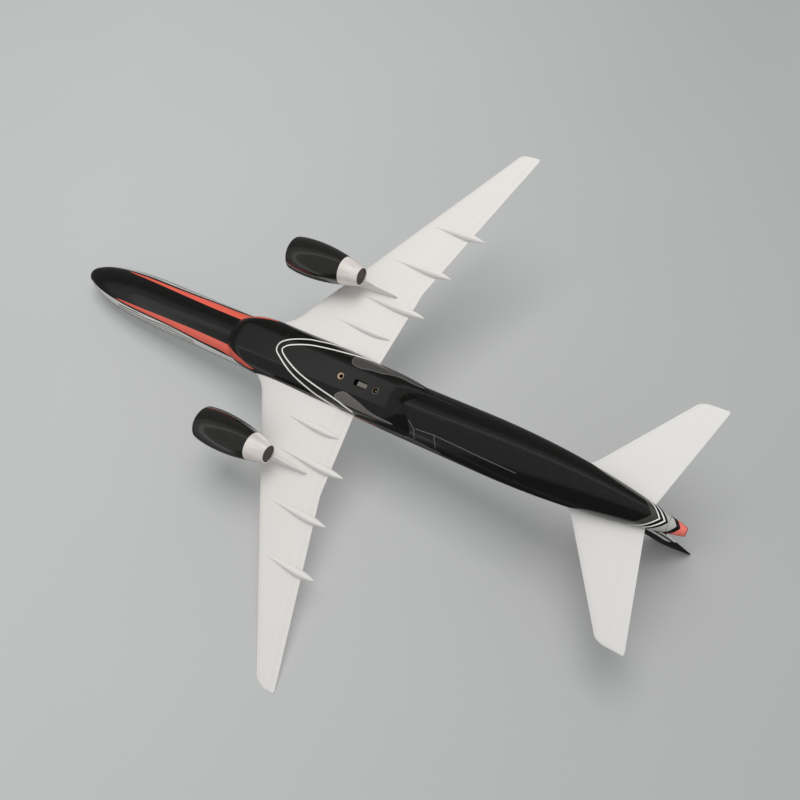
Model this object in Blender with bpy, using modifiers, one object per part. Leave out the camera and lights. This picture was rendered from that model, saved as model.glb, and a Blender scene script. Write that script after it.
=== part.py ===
"""Desktop airliner model: a low-wing twin on a lit, hollow fuselage, made for a display stand.

Stations run aft from the nose tip and heights run up from the fuselage axis. The empty nose_datum
carries every part, so that the world origin is on the flat face of the belly pad, just ahead of
the stand's screw: +Y is aft, +X is the aircraft's left (port) side and +Z is up. All lengths are
metres.
"""
import math

import bmesh
import bpy
from mathutils import Vector

MM = 0.001
GAP = 0.3 * MM

# Fuselage
LENGTH = 464 * MM
HALF_WIDTH = 17.9 * MM
HALF_HEIGHT = 19.2 * MM
WALL = 1.4 * MM
NOSE_LENGTH = 72 * MM
NOSE_DROOP = 7.0 * MM
NOSE_SOLID = 6 * MM
TAPER_START = 335 * MM
UPSWEEP_START = 305 * MM
TAIL_HALF_WIDTH = 2.7 * MM
TAIL_TOP = 11.2 * MM
TAIL_BOTTOM = 3.8 * MM
CONE_START = 454 * MM
CONE_BORE_RADIUS = 1.7 * MM
CONE_BORE_DEPTH = 6 * MM

# Windows
WINDOW_LOW = 3.6 * MM
WINDOW_HIGH = 6.6 * MM
WINDOW_FIRST = 66 * MM
WINDOW_LAST = 384 * MM
WINDSHIELD_FRONT = 10 * MM
WINDSHIELD_BACK = 27 * MM
WINDSHIELD_LOW = 4.6 * MM
WINDSHIELD_HIGH = 9.6 * MM

# Belly fairing and the fittings in its pad
FAIRING_START = 146 * MM
FAIRING_END = 304 * MM
FAIRING_HALF_WIDTH = 19.5 * MM
FAIRING_WAIST = 1.6 * MM
FAIRING_WIDEST = -11 * MM
FAIRING_SQUARENESS = 2.6
FAIRING_RAMP = 13 * MM
FAIRING_BURIED = 3 * MM
FAIRING_SIDE_RAMP = 34 * MM
PAD_END = 291 * MM
PAD_DEPTH = 22.5 * MM
PAD_REST_STATION = 231.7 * MM
STAND_STATION = 241.7 * MM
SWITCH_STATION = 257.0 * MM
JACK_STATION = 268.0 * MM
BOSS_RADIUS = 5 * MM
BOSS_TOP = -11 * MM
INSERT_RADIUS = 2.2 * MM
INSERT_BORE = 1.25 * MM
INSERT_LENGTH = 9 * MM
SLOT_LENGTH = 9.6 * MM
SLOT_WIDTH = 4.2 * MM
SWITCH_SIZE = (7 * MM, 12 * MM, 5 * MM)
SWITCH_LEVER = (3.0 * MM, 7.0 * MM, 4.0 * MM)
SWITCH_THROW = 2.0 * MM
JACK_RADIUS = 2.4 * MM
JACK_BORE = 1.6 * MM
JACK_LENGTH = 11 * MM
JACK_PIN_RADIUS = 0.5 * MM

# Wing, by distance from the centreline
SEMI_SPAN = 190.6 * MM
WING_LE_ROOT = 173.3 * MM
WING_LE_SLOPE = 0.53
WING_TE_ROOT = 257.2 * MM
WING_TE_SLOPE_IN = 0.04
WING_TE_SLOPE_OUT = 0.236
WING_KINK = 72.6 * MM
WING_HEIGHT = -14.3 * MM
WING_DIHEDRAL = 0.087
WING_THICKNESS = (0.115, 0.095)
WING_GLOVE_SPAN = 28 * MM
WING_GLOVE_RATE = 0.07 / MM
TONGUE = (13 * MM, 22 * MM, 2.6 * MM)
TONGUE_STATION = 208 * MM
TONGUE_INNER_END = 9.5 * MM

# Flap-track fairings: distance out, front and rear stations
TRACK_FAIRINGS = (
    (35.5 * MM, 213 * MM, 256 * MM),
    (57.0 * MM, 219 * MM, 270 * MM),
    (88.3 * MM, 227 * MM, 273 * MM),
    (120.3 * MM, 240 * MM, 281 * MM),
)
TRACK_HALF_WIDTH = 2.6 * MM
TRACK_DEPTH = 3.3 * MM
TRACK_RISE = 1.1 * MM

# Tailplane, by distance from the centreline, and fin, by height
TAILPLANE_SEMI_SPAN = 76 * MM
TAILPLANE_LE_ROOT = 390.6 * MM
TAILPLANE_LE_SLOPE = 0.686
TAILPLANE_TE_ROOT = 441.5 * MM
TAILPLANE_TE_SLOPE = 0.24
TAILPLANE_HEIGHT = 7 * MM
TAILPLANE_DIHEDRAL = 0.12
TAILPLANE_TONGUE = (11 * MM, 14 * MM, 2 * MM)
TAILPLANE_TONGUE_INNER_END = 5 * MM
TAIL_TONGUE_STATION = 420 * MM
FIN_TIP = 91.5 * MM
FIN_ROOT = 17 * MM
FIN_LE_ROOT = 386 * MM
FIN_LE_SLOPE = 0.80
FIN_TE_ROOT = 441 * MM
FIN_TE_SLOPE = 0.347
FIN_THICKNESS = 0.12
FIN_TONGUE = (2.4 * MM, 24 * MM, 12 * MM)
DORSAL_REACH = 16 * MM
DORSAL_HEIGHT = 12 * MM

# Engines
ENGINE_OUT = 64.0 * MM
ENGINE_HEIGHT = -27.4 * MM
ENGINE_FRONT = 170.2 * MM
COWL_RADIUS = 12.5 * MM
LIP_RADIUS = 10.9 * MM
THROAT_RADIUS = 9.2 * MM
LIP_LENGTH = 2.5 * MM
COWL_END = 211.5 * MM
COWL_END_RADIUS = 9.5 * MM
NOZZLE_END = 224.6 * MM
NOZZLE_END_RADIUS = 6.3 * MM
SHEET = 0.6 * MM
PLUG_RECESS = 0.5 * MM
FAN_STATION = 178.2 * MM
FAN_RADIUS = 8.7 * MM
FAN_HUB_RADIUS = 3.0 * MM
FAN_THICKNESS = 3.0 * MM
FAN_BLADES = 18
FAN_PIN_RADIUS = 0.8 * MM
FAN_PIN_LENGTH = 8 * MM
FAN_CLEARANCE = 0.06 * MM
CORE_LENGTH = 22 * MM
VANE_THICKNESS = 0.8 * MM
VANE_CHORD = 4 * MM
PYLON_HALF_WIDTH = 2.6 * MM
# Level slices of a pylon: height, front and rear stations
PYLON_SLICES = (
    (-22.0 * MM, 182 * MM, 226 * MM),
    (-17.5 * MM, 181 * MM, 233 * MM),
    (-13.5 * MM, 187 * MM, 244 * MM),
    (-10.5 * MM, 196 * MM, 246 * MM),
    (-8.8 * MM, 202 * MM, 246 * MM),
)

# Cabin lighting
BATTERY_RADIUS = 7 * MM
BATTERY_LENGTH = 48 * MM
BATTERY_FRONT = 152 * MM
BOARD_SIZE = (8 * MM, 250 * MM, 0.8 * MM)
BOARD_STATION = 210 * MM
BOARD_HEIGHT = HALF_HEIGHT - WALL - 1.6 * MM
LAMP_SIZE = (3 * MM, 3 * MM, 1.4 * MM)
LAMP_COUNT = 4
WIRE_RADIUS = 0.5 * MM

# Points round a turned part, round the fuselage and round one of its halves
ROUND = 28
BODY_ROUND = 36
HALF_ROUND = 17


# ---------------------------------------------------------------- scene and materials

def clear_scene():
    for obj in list(bpy.data.objects):
        bpy.data.objects.remove(obj, do_unlink=True)


def new_collection(name):
    collection = bpy.data.collections.new(name)
    bpy.context.scene.collection.children.link(collection)
    return collection


def material(name, colour, roughness, metallic=0.0):
    found = bpy.data.materials.get(name)
    if found:
        return found
    made = bpy.data.materials.new(name)
    made.use_nodes = True
    shader = made.node_tree.nodes["Principled BSDF"]
    shader.inputs["Base Color"].default_value = (*colour, 1.0)
    shader.inputs["Roughness"].default_value = roughness
    shader.inputs["Metallic"].default_value = metallic
    return made


def gloss_black():
    return material("gloss_black", (0.012, 0.012, 0.013), 0.12)


def satin_white():
    return material("satin_white", (0.76, 0.75, 0.73), 0.42)


def silver_grey():
    return material("silver_grey", (0.48, 0.49, 0.50), 0.3)


def coral_red():
    return material("coral_red", (0.83, 0.12, 0.08), 0.25)


def warm_silver():
    return material("warm_silver", (0.72, 0.66, 0.62), 0.28, 1.0)


def dark_brown():
    return material("dark_brown", (0.06, 0.045, 0.04), 0.5)


def polished_metal():
    return material("polished_metal", (0.8, 0.8, 0.82), 0.12, 1.0)


def brass():
    return material("brass", (0.78, 0.5, 0.22), 0.25, 1.0)


def smoked_clear():
    return material("smoked_clear", (0.03, 0.035, 0.04), 0.08)


def circuit_green():
    return material("circuit_green", (0.03, 0.2, 0.08), 0.4)


def lamp_white():
    return material("lamp_white", (0.9, 0.88, 0.75), 0.3)


def battery_blue():
    return material("battery_blue", (0.05, 0.12, 0.45), 0.35)


def wire_red():
    return material("wire_red", (0.6, 0.03, 0.02), 0.4)


# ---------------------------------------------------------------- building blocks

class Model:
    """The collections and the datum that every part hangs on."""

    def __init__(self):
        self.parts = new_collection("desktop_airliner")
        self.cutters = new_collection("cutters")
        self.datum = bpy.data.objects.new("nose_datum", None)
        self.datum.location = (0.0, -PAD_REST_STATION, PAD_DEPTH)
        self.parts.objects.link(self.datum)

    def add(self, name, bm, surface, location=(0.0, 0.0, 0.0)):
        """Turn a bmesh, in stations and heights from location, into a named part."""
        obj = self.new_object(name, bm, location)
        self.parts.objects.link(obj)
        obj.data.materials.append(surface)
        obj.data.shade_smooth()
        obj.data.set_sharp_from_angle(angle=math.radians(35))
        return obj

    def add_cutter(self, name, bm, location=(0.0, 0.0, 0.0)):
        obj = self.new_object(name, bm, location)
        self.cutters.objects.link(obj)
        obj.display_type = "WIRE"
        obj.hide_render = True
        return obj

    def add_turned(self, name, profile, surface, location, closed=True):
        """A part turned about the fore-and-aft axis, from (radius, station) points.

        The points run forward along the outer side, and back along the inner side if closed.
        """
        obj = self.add(name, wire(profile, closed), surface, location)
        obj.rotation_euler = (-math.pi / 2, 0.0, 0.0)
        add_screw(obj)
        return obj

    def new_object(self, name, bm, location):
        mesh = bpy.data.meshes.new(name)
        bmesh.ops.recalc_face_normals(bm, faces=bm.faces)
        bm.to_mesh(mesh)
        bm.free()
        obj = bpy.data.objects.new(name, mesh)
        obj.location = location
        obj.parent = self.datum
        return obj


def boolean(obj, cutter, operation="DIFFERENCE"):
    modifier = obj.modifiers.new(cutter.name, "BOOLEAN")
    modifier.operation = operation
    modifier.object = cutter
    modifier.solver = "EXACT"


def add_screw(obj):
    screw = obj.modifiers.new("turn", "SCREW")
    screw.axis = "Z"
    screw.steps = ROUND
    screw.render_steps = ROUND
    screw.use_merge_vertices = True
    screw.merge_threshold = 0.00001


def wire(profile, closed):
    """Profile points (radius, height) joined by edges, to be turned by a Screw modifier."""
    bm = bmesh.new()
    verts = [bm.verts.new((radius, 0.0, height)) for radius, height in profile]
    for a, b in zip(verts, verts[1:]):
        bm.edges.new((a, b))
    if closed:
        bm.edges.new((verts[-1], verts[0]))
    return bm


def loft(rings):
    """A closed solid through rings of equal length, with a flat cap at each end."""
    bm = bmesh.new()
    rows = [[bm.verts.new(point) for point in ring] for ring in rings]
    for row, after in zip(rows, rows[1:]):
        for i in range(len(row)):
            j = (i + 1) % len(row)
            bm.faces.new((row[i], row[j], after[j], after[i]))
    bm.faces.new(rows[0])
    bm.faces.new(reversed(rows[-1]))
    return bm


def box(size, centre=(0.0, 0.0, 0.0)):
    bm = bmesh.new()
    bmesh.ops.create_cube(bm, size=1.0)
    bmesh.ops.scale(bm, vec=size, verts=bm.verts)
    bmesh.ops.translate(bm, vec=centre, verts=bm.verts)
    return bm


def upright_cylinder(radius, length, segments=ROUND):
    """A cylinder along Z with its lower end at the origin."""
    bm = bmesh.new()
    bmesh.ops.create_cone(
        bm, cap_ends=True, segments=segments, radius1=radius, radius2=radius, depth=length)
    bmesh.ops.translate(bm, vec=(0.0, 0.0, length / 2), verts=bm.verts)
    return bm


def spread(low, high, count):
    return [low + (high - low) * i / (count - 1) for i in range(count)]


def clamp(value, low=0.0, high=1.0):
    return max(low, min(high, value))


# ---------------------------------------------------------------- fuselage

def nose_bulge(station, reach):
    """Zero at the nose tip and one from reach aft, along a quarter ellipse."""
    left = 1.0 - clamp(station / reach)
    return math.sqrt(max(0.0, 1.0 - left * left))


def fuselage_half_width(station):
    taper = clamp((station - TAPER_START) / (LENGTH - TAPER_START))
    tail = HALF_WIDTH + (TAIL_HALF_WIDTH - HALF_WIDTH) * taper ** 2.2
    return nose_bulge(station, NOSE_LENGTH) * tail


def fuselage_top(station):
    fall = clamp((station - TAPER_START) / (LENGTH - TAPER_START))
    crown = HALF_HEIGHT + (TAIL_TOP - HALF_HEIGHT) * fall ** 2.0
    return -NOSE_DROOP + (crown + NOSE_DROOP) * nose_bulge(station, NOSE_LENGTH) ** 1.25


def fuselage_bottom(station):
    rise = clamp((station - UPSWEEP_START) / (LENGTH - UPSWEEP_START))
    keel = -HALF_HEIGHT + (TAIL_BOTTOM + HALF_HEIGHT) * rise ** 2.1
    return -NOSE_DROOP + (keel + NOSE_DROOP) * nose_bulge(station, NOSE_LENGTH - 10 * MM)


def fuselage_middle(station):
    """Height of the widest point of the section."""
    tail = clamp((station - TAPER_START) / (LENGTH - TAPER_START)) ** 1.6
    nose = (1.0 - clamp(station / NOSE_LENGTH)) ** 2
    return tail * (TAIL_TOP + TAIL_BOTTOM) / 2 - nose * NOSE_DROOP


def fuselage_point(station, angle, grow=0.0):
    """A point of the skin: angle 0 is the crown, a quarter turn the left side, a half the keel."""
    middle = fuselage_middle(station)
    half_width = fuselage_half_width(station) + grow
    if math.cos(angle) > 0:
        half_height = fuselage_top(station) - middle + grow
    else:
        half_height = middle - fuselage_bottom(station) + grow
    return (half_width * math.sin(angle), station, middle + half_height * math.cos(angle))


def fuselage_stations(first, last):
    """Rings set close at the nose and through the tail taper, and far apart between them."""
    nose = [NOSE_LENGTH * (1 - math.cos(t * math.pi / 2)) for t in spread(0.0, 1.0, 10)]
    middle = spread(NOSE_LENGTH, UPSWEEP_START, 5)
    tail = spread(UPSWEEP_START, LENGTH, 11)
    inner = [s for s in nose + middle[1:] + tail[1:] if first + 1 * MM < s < last - 1 * MM]
    return [first] + inner + [last]


def body_angles():
    return [2 * math.pi * k / BODY_ROUND for k in range(BODY_ROUND)]


def full_body(first, last, grow):
    rings = []
    for station in fuselage_stations(first, last):
        rings.append([fuselage_point(station, angle, grow) for angle in body_angles()])
    return loft(rings)


def half_body(upper, first, last, grow, seam):
    """Half of the body, above or below the widest line, whose cut face stands seam off that line."""
    start = -math.pi / 2 if upper else math.pi / 2
    lift = seam if upper else -seam
    angles = spread(start, start + math.pi, HALF_ROUND)
    rings = []
    for station in fuselage_stations(first, last):
        ring = [Vector(fuselage_point(station, angle, grow)) for angle in angles]
        ring[0].z += lift
        ring[-1].z += lift
        rings.append(ring)
    return loft(rings)


def hollow_half(model, name, upper, surface):
    """One fuselage shell: the outer half with the cabin cut out of it."""
    shell = model.add(name, half_body(upper, 0.5 * MM, CONE_START, 0.0, GAP / 2), surface)
    room = half_body(upper, NOSE_SOLID, CONE_START - 3 * MM, -WALL, -1 * MM)
    boolean(shell, model.add_cutter(name + "_room", room))
    return shell


def window_band(side, grow):
    """The slab that marks one row of cabin windows."""
    size = (20 * MM, WINDOW_LAST - WINDOW_FIRST + 2 * grow, WINDOW_HIGH - WINDOW_LOW + 2 * grow)
    centre = (side * 16 * MM, (WINDOW_LAST + WINDOW_FIRST) / 2, (WINDOW_HIGH + WINDOW_LOW) / 2)
    return box(size, centre)


def windshield_band(grow):
    depth = WINDSHIELD_BACK + grow
    size = (60 * MM, depth, WINDSHIELD_HIGH - WINDSHIELD_LOW + 2 * grow)
    return box(size, (0.0, depth / 2, (WINDSHIELD_HIGH + WINDSHIELD_LOW) / 2))


def add_fuselage(model, sockets):
    """Both shells, the glazing cut from the upper one, and the tail cone."""
    upper = hollow_half(model, "fuselage_upper", True, silver_grey())
    lower = hollow_half(model, "fuselage_lower", False, gloss_black())
    for side, label in ((1, "left"), (-1, "right")):
        strip = hollow_half(model, "window_strip_" + label, True, smoked_clear())
        band = model.add_cutter("window_band_" + label, window_band(side, 0.0))
        boolean(strip, band, "INTERSECT")
        boolean(upper, model.add_cutter("window_slot_" + label, window_band(side, GAP)))
    glass = hollow_half(model, "windshield", True, smoked_clear())
    boolean(glass, model.add_cutter("windshield_band", windshield_band(0.0)), "INTERSECT")
    boolean(upper, model.add_cutter("windshield_slot", windshield_band(GAP)))
    for socket in sockets["upper"]:
        boolean(upper, socket)
    for socket in sockets["lower"]:
        boolean(lower, socket)
    hatch_length = JACK_STATION - STAND_STATION + 2 * (BOSS_RADIUS + 1 * MM)
    hatch_centre = (0.0, (JACK_STATION + STAND_STATION) / 2, -HALF_HEIGHT)
    hatch = box((2 * (BOSS_RADIUS + 1 * MM), hatch_length, 10 * MM), hatch_centre)
    boolean(lower, model.add_cutter("belly_hatch", hatch))
    add_tail_cone(model)


def add_tail_cone(model):
    cone = model.add("tail_cone", full_body(CONE_START + GAP, LENGTH, 0.0), coral_red())
    middle = (TAIL_TOP + TAIL_BOTTOM) / 2
    bore = model.add_cutter(
        "tail_cone_bore", upright_cylinder(CONE_BORE_RADIUS, 2 * CONE_BORE_DEPTH, 16),
        (0.0, LENGTH - CONE_BORE_DEPTH, middle))
    bore.rotation_euler = (-math.pi / 2, 0.0, 0.0)
    boolean(cone, bore)


# ---------------------------------------------------------------- belly fairing and its fittings

def swell(station, end, ramp):
    """From 0 at the fairing's start and at end to 1 between them, with rounded shoulders."""
    up = math.sin(clamp((station - FAIRING_START) / ramp) * math.pi / 2)
    down = math.sin(clamp((end - station) / ramp) * math.pi / 2)
    return (up * down) ** 0.8


def squared(value):
    """A sine or cosine pushed out towards a rounded square."""
    return math.copysign(abs(value) ** (2 / FAIRING_SQUARENESS), value)


def fairing_point(station, angle, grow):
    """A point of the fairing, which grows out of the body at both of its ends."""
    across, up = math.sin(angle), math.cos(angle)
    half_width = FAIRING_HALF_WIDTH - FAIRING_WAIST * clamp((station - 225 * MM) / (50 * MM))
    reach = 10 * MM if up > 0 else PAD_DEPTH + 0.6 * MM + FAIRING_WIDEST
    height = FAIRING_WIDEST + squared(up) * (reach + grow)
    full = Vector(((half_width + grow) * squared(across), station, max(height, -PAD_DEPTH - grow)))
    buried = Vector(fuselage_point(station, angle, grow - FAIRING_BURIED))
    end = PAD_END + (FAIRING_END - PAD_END) * abs(across)
    ramp = FAIRING_RAMP + (FAIRING_SIDE_RAMP - FAIRING_RAMP) * across * across
    return buried.lerp(full, swell(station, end, ramp))


def fairing_ring(station, grow):
    return [fairing_point(station, angle, grow) for angle in body_angles()]


def fairing_solid(grow):
    front = [FAIRING_START + FAIRING_SIDE_RAMP * t ** 1.4 for t in spread(0.0, 1.0, 13)]
    back = [FAIRING_END - FAIRING_SIDE_RAMP * t ** 1.2 for t in spread(1.0, 0.0, 13)]
    return loft([fairing_ring(s, grow) for s in front + spread(205 * MM, 245 * MM, 3) + back])


def at_pad(station, height=0.0):
    """A point on the centreline, height above the outer face of the belly pad."""
    return (0.0, station, -PAD_DEPTH + height)


def add_fairing(model, body_clearance, sockets):
    fairing = model.add("belly_fairing", fairing_solid(0.0), gloss_black())
    boolean(fairing, body_clearance)
    boss = upright_cylinder(BOSS_RADIUS, BOSS_TOP + PAD_DEPTH - 1 * MM, 24)
    boolean(fairing, model.add_cutter("stand_boss", boss, at_pad(STAND_STATION, 1 * MM)), "UNION")
    socket = upright_cylinder(INSERT_RADIUS + GAP, INSERT_LENGTH + 1.5 * MM, 24)
    boolean(fairing, model.add_cutter("insert_socket", socket, at_pad(STAND_STATION, -1 * MM)))
    slot = box((SLOT_WIDTH, SLOT_LENGTH, 8 * MM))
    boolean(fairing, model.add_cutter("switch_slot", slot, at_pad(SWITCH_STATION)))
    hole = upright_cylinder(JACK_RADIUS + GAP, 8 * MM, 24)
    jack_hole = model.add_cutter("jack_hole", hole, at_pad(JACK_STATION, -1 * MM))
    jack_hole.rotation_euler = (0.0, 0.0, math.pi / 24)
    boolean(fairing, jack_hole)
    for wing_socket in sockets:
        boolean(fairing, wing_socket)


def add_insert(model):
    insert = model.add(
        "stand_insert", upright_cylinder(INSERT_RADIUS, INSERT_LENGTH, 24), brass(),
        at_pad(STAND_STATION, 0.2 * MM))
    bore = upright_cylinder(INSERT_BORE, INSERT_LENGTH + 2 * MM, 24)
    boolean(insert, model.add_cutter("insert_bore", bore, at_pad(STAND_STATION, -1 * MM)))


def add_switch(model):
    """A slide switch above the pad, whose lever stands in the pad's slot."""
    floor = PAD_DEPTH - HALF_HEIGHT + GAP + 0.1 * MM
    width, length, height = SWITCH_SIZE
    body = model.add(
        "switch_body", box(SWITCH_SIZE), gloss_black(), at_pad(SWITCH_STATION, floor + height / 2))
    groove_size = (SWITCH_LEVER[0] + 2 * GAP, SWITCH_LEVER[1] + SWITCH_THROW + 2 * GAP, 4 * MM)
    boolean(body, model.add_cutter("switch_groove", box(groove_size), at_pad(SWITCH_STATION, floor)))
    rest = SWITCH_STATION + SWITCH_THROW / 2
    lever_height = SWITCH_LEVER[2] / 2 + 0.7 * MM
    model.add("switch_lever", box(SWITCH_LEVER), silver_grey(), at_pad(rest, lever_height))


def add_jack(model):
    """The charging jack: a barrel open downwards, with its centre pin."""
    barrel = model.add(
        "jack_barrel", upright_cylinder(JACK_RADIUS, JACK_LENGTH, 24), polished_metal(),
        at_pad(JACK_STATION, 0.1 * MM))
    bore = upright_cylinder(JACK_BORE, JACK_LENGTH - 1 * MM, 24)
    boolean(barrel, model.add_cutter("jack_bore", bore, at_pad(JACK_STATION, -1 * MM)))
    pin_length = JACK_LENGTH - 4 * MM
    model.add(
        "jack_pin", upright_cylinder(JACK_PIN_RADIUS, pin_length, 12), brass(),
        at_pad(JACK_STATION, JACK_LENGTH - 2 * MM - GAP - pin_length))


# ---------------------------------------------------------------- flying surfaces

def thickness_at(chord_share):
    """Half thickness of the aerofoil, as a share of its full thickness."""
    c = chord_share
    return 5 * (0.2969 * math.sqrt(c) - 0.126 * c - 0.3516 * c ** 2 + 0.2843 * c ** 3 - 0.1015 * c ** 4)


def aerofoil(lead, trail, thickness, place, top_share=1.2):
    """A closed section from the trailing edge, over the top and back along the underside."""
    shares = [(1 - math.cos(t * math.pi)) / 2 for t in spread(0.0, 1.0, 9)]
    blunt = 0.22 * MM
    top = [(c, top_share * thickness * thickness_at(c) + blunt * c) for c in reversed(shares)]
    under = [(c, (top_share - 2) * thickness * thickness_at(c) - blunt * c) for c in shares[1:]]
    return [place(lead + c * (trail - lead), offset) for c, offset in top + under]


def tip_fade(distance, tip, rounding):
    """One inboard of the rounded tip, falling along a quarter circle to zero at it."""
    past = clamp((distance - tip + rounding) / rounding)
    return math.sqrt(max(0.0, 1.0 - past * past))


def wing_edges(out):
    glove = WING_GLOVE_RATE * max(0.0, WING_GLOVE_SPAN - out) ** 2
    lead = WING_LE_ROOT + WING_LE_SLOPE * out - glove
    past_kink = max(0.0, out - WING_KINK)
    trail = WING_TE_ROOT + WING_TE_SLOPE_IN * min(out, WING_KINK) + WING_TE_SLOPE_OUT * past_kink
    return lead, trail


def wing_height(out):
    return WING_HEIGHT + WING_DIHEDRAL * out


def wing_ring(side, out, grow=0.0):
    lead, trail = wing_edges(out)
    fade = tip_fade(out, SEMI_SPAN, 2.5 * MM)
    share = out / SEMI_SPAN
    thickness = (WING_THICKNESS[0] * (1 - share) + WING_THICKNESS[1] * share) * (trail - lead)
    lead += 3.5 * MM * (1 - fade) - grow
    trail -= 1.5 * MM * (1 - fade) - grow
    depth = thickness * (0.3 + 0.7 * fade) + 2.5 * grow

    def place(station, offset):
        return (side * out, station, wing_height(out) + offset)
    return aerofoil(lead, trail, depth, place)


def wing_solid(side, grow=0.0):
    spans = [12 * MM, 20 * MM, 28 * MM, 48 * MM, WING_KINK, 110 * MM, 150 * MM]
    tip = [SEMI_SPAN - 2.5 * MM * t for t in (1.0, 0.5, 0.15, 0.0)]
    return loft([wing_ring(side, out, grow) for out in spans + tip])


def track_fairing(side, out, front, back):
    """A slender pod under the wing, fullest towards its rear and pointed at both ends."""
    lead, trail = wing_edges(out)
    front_share = (front - lead) / (trail - lead)
    drop = 0.8 * WING_THICKNESS[0] * (trail - lead) * thickness_at(front_share)
    rings = []
    for t in spread(0.02, 0.98, 9):
        station = front + t * (back - front)
        height = wing_height(out) - drop * (1 - t) - 0.7 * MM * t
        girth = math.sin(math.pi * t ** 1.8) ** 0.7
        ring = []
        for k in range(10):
            across, up = math.cos(2 * math.pi * k / 10), math.sin(2 * math.pi * k / 10)
            reach = TRACK_RISE if up > 0 else TRACK_DEPTH
            ring.append((
                side * out + TRACK_HALF_WIDTH * girth * across, station, height + reach * girth * up))
        rings.append(ring)
    return loft(rings)


def tongue(size, side, inner, middle, grow=0.0):
    """A flat tab that runs out from inner, in the middle of a root section."""
    reach, length, height = size
    centre = (side * (inner + reach / 2), middle[0], middle[1])
    return box((reach + 2 * grow, length + 2 * grow, height + 2 * grow), centre)


def add_wing(model, side, label, clearances):
    wing = model.add("wing_" + label, wing_solid(side), satin_white())
    for clearance in clearances:
        boolean(wing, clearance)
    middle = (TONGUE_STATION, wing_height(TONGUE_INNER_END))
    tab = tongue(TONGUE, side, TONGUE_INNER_END, middle)
    boolean(wing, model.add_cutter("wing_tongue_" + label, tab), "UNION")
    for number, (out, front, back) in enumerate(TRACK_FAIRINGS, 1):
        pod = track_fairing(side, out, front, back)
        boolean(wing, model.add_cutter("track_fairing_%s_%d" % (label, number), pod), "UNION")


def wing_socket(model, side, label):
    middle = (TONGUE_STATION, wing_height(TONGUE_INNER_END))
    return model.add_cutter(
        "wing_socket_" + label, tongue(TONGUE, side, TONGUE_INNER_END, middle, GAP))


def tailplane_ring(side, out):
    fade = tip_fade(out, TAILPLANE_SEMI_SPAN, 3 * MM)
    fillet = 0.05 / MM * max(0.0, 20 * MM - out) ** 2
    lead = TAILPLANE_LE_ROOT + TAILPLANE_LE_SLOPE * out - fillet + 6 * MM * (1 - fade)
    trail = TAILPLANE_TE_ROOT + TAILPLANE_TE_SLOPE * out - 1 * MM * (1 - fade)

    def place(station, offset):
        return (side * out, station, TAILPLANE_HEIGHT + TAILPLANE_DIHEDRAL * out + offset)
    return aerofoil(lead, trail, 0.09 * (trail - lead) * (0.3 + 0.7 * fade), place)


def add_tailplane(model, side, label, body_clearance):
    spans = [7 * MM, 14 * MM, 20 * MM, 40 * MM, 60 * MM]
    tip = [TAILPLANE_SEMI_SPAN - 3 * MM * t for t in (1.0, 0.5, 0.15, 0.0)]
    rings = [tailplane_ring(side, out) for out in spans + tip]
    plane = model.add("tailplane_" + label, loft(rings), satin_white())
    boolean(plane, body_clearance)
    boolean(plane, model.add_cutter("tailplane_tongue_" + label, tailplane_tongue(side)), "UNION")


def tailplane_tongue(side, grow=0.0):
    inner = TAILPLANE_TONGUE_INNER_END
    middle = (TAIL_TONGUE_STATION, TAILPLANE_HEIGHT + TAILPLANE_DIHEDRAL * 12 * MM)
    return tongue(TAILPLANE_TONGUE, side, inner, middle, grow)


def fin_ring(height):
    above = height - FIN_ROOT
    fade = tip_fade(height, FIN_TIP, 3 * MM)
    dorsal = DORSAL_REACH * clamp(1 - above / DORSAL_HEIGHT) ** 2
    lead = FIN_LE_ROOT + FIN_LE_SLOPE * above - dorsal + 4 * MM * (1 - fade)
    trail = FIN_TE_ROOT + FIN_TE_SLOPE * above - 1 * MM * (1 - fade)
    core = FIN_THICKNESS * (trail - lead - dorsal) * (0.3 + 0.7 * fade)

    def place(station, offset):
        return (offset, station, height)
    return aerofoil(lead, trail, core, place, 1.0)


def fin_tongue(grow=0.0):
    width, length, height = FIN_TONGUE
    centre = (0.0, TAIL_TONGUE_STATION, FIN_ROOT)
    return box((width + 2 * grow, length + 2 * grow, height), centre)


def add_fin(model, body_clearance):
    heights = [12 * MM, FIN_ROOT, 20 * MM, 24 * MM, 29 * MM, 50 * MM, 70 * MM]
    tip = [FIN_TIP - 3 * MM * t for t in (1.0, 0.5, 0.15, 0.0)]
    fin = model.add("fin", loft([fin_ring(z) for z in heights + tip]), gloss_black())
    boolean(fin, body_clearance)
    boolean(fin, model.add_cutter("fin_tongue", fin_tongue()), "UNION")


# ---------------------------------------------------------------- engines

def cowl_radius(station):
    widest = 186.2 * MM
    if station < widest:
        return COWL_RADIUS - 1.5 * MM * ((widest - station) / (widest - ENGINE_FRONT)) ** 2.6
    fall = (station - widest) / (COWL_END - widest)
    return COWL_RADIUS + (COWL_END_RADIUS - COWL_RADIUS) * fall ** 1.9


def cowl_profile():
    """The cowl's wall, forward along the outside and back along the duct, from its front."""
    outside = [(cowl_radius(s), s) for s in spread(COWL_END, ENGINE_FRONT + 0.9 * MM, 9)]
    seat = LIP_RADIUS - 0.4 * MM
    rim = [(seat + 0.25 * MM, ENGINE_FRONT + 0.4 * MM), (seat, ENGINE_FRONT + 0.6 * MM)]
    step = ENGINE_FRONT + LIP_LENGTH + GAP
    duct = [(seat, step), (THROAT_RADIUS, step), (THROAT_RADIUS, 186 * MM)]
    tail = [(COWL_END_RADIUS - SHEET, COWL_END)]
    return [(r, s - ENGINE_FRONT) for r, s in outside + rim + duct + tail]


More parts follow.
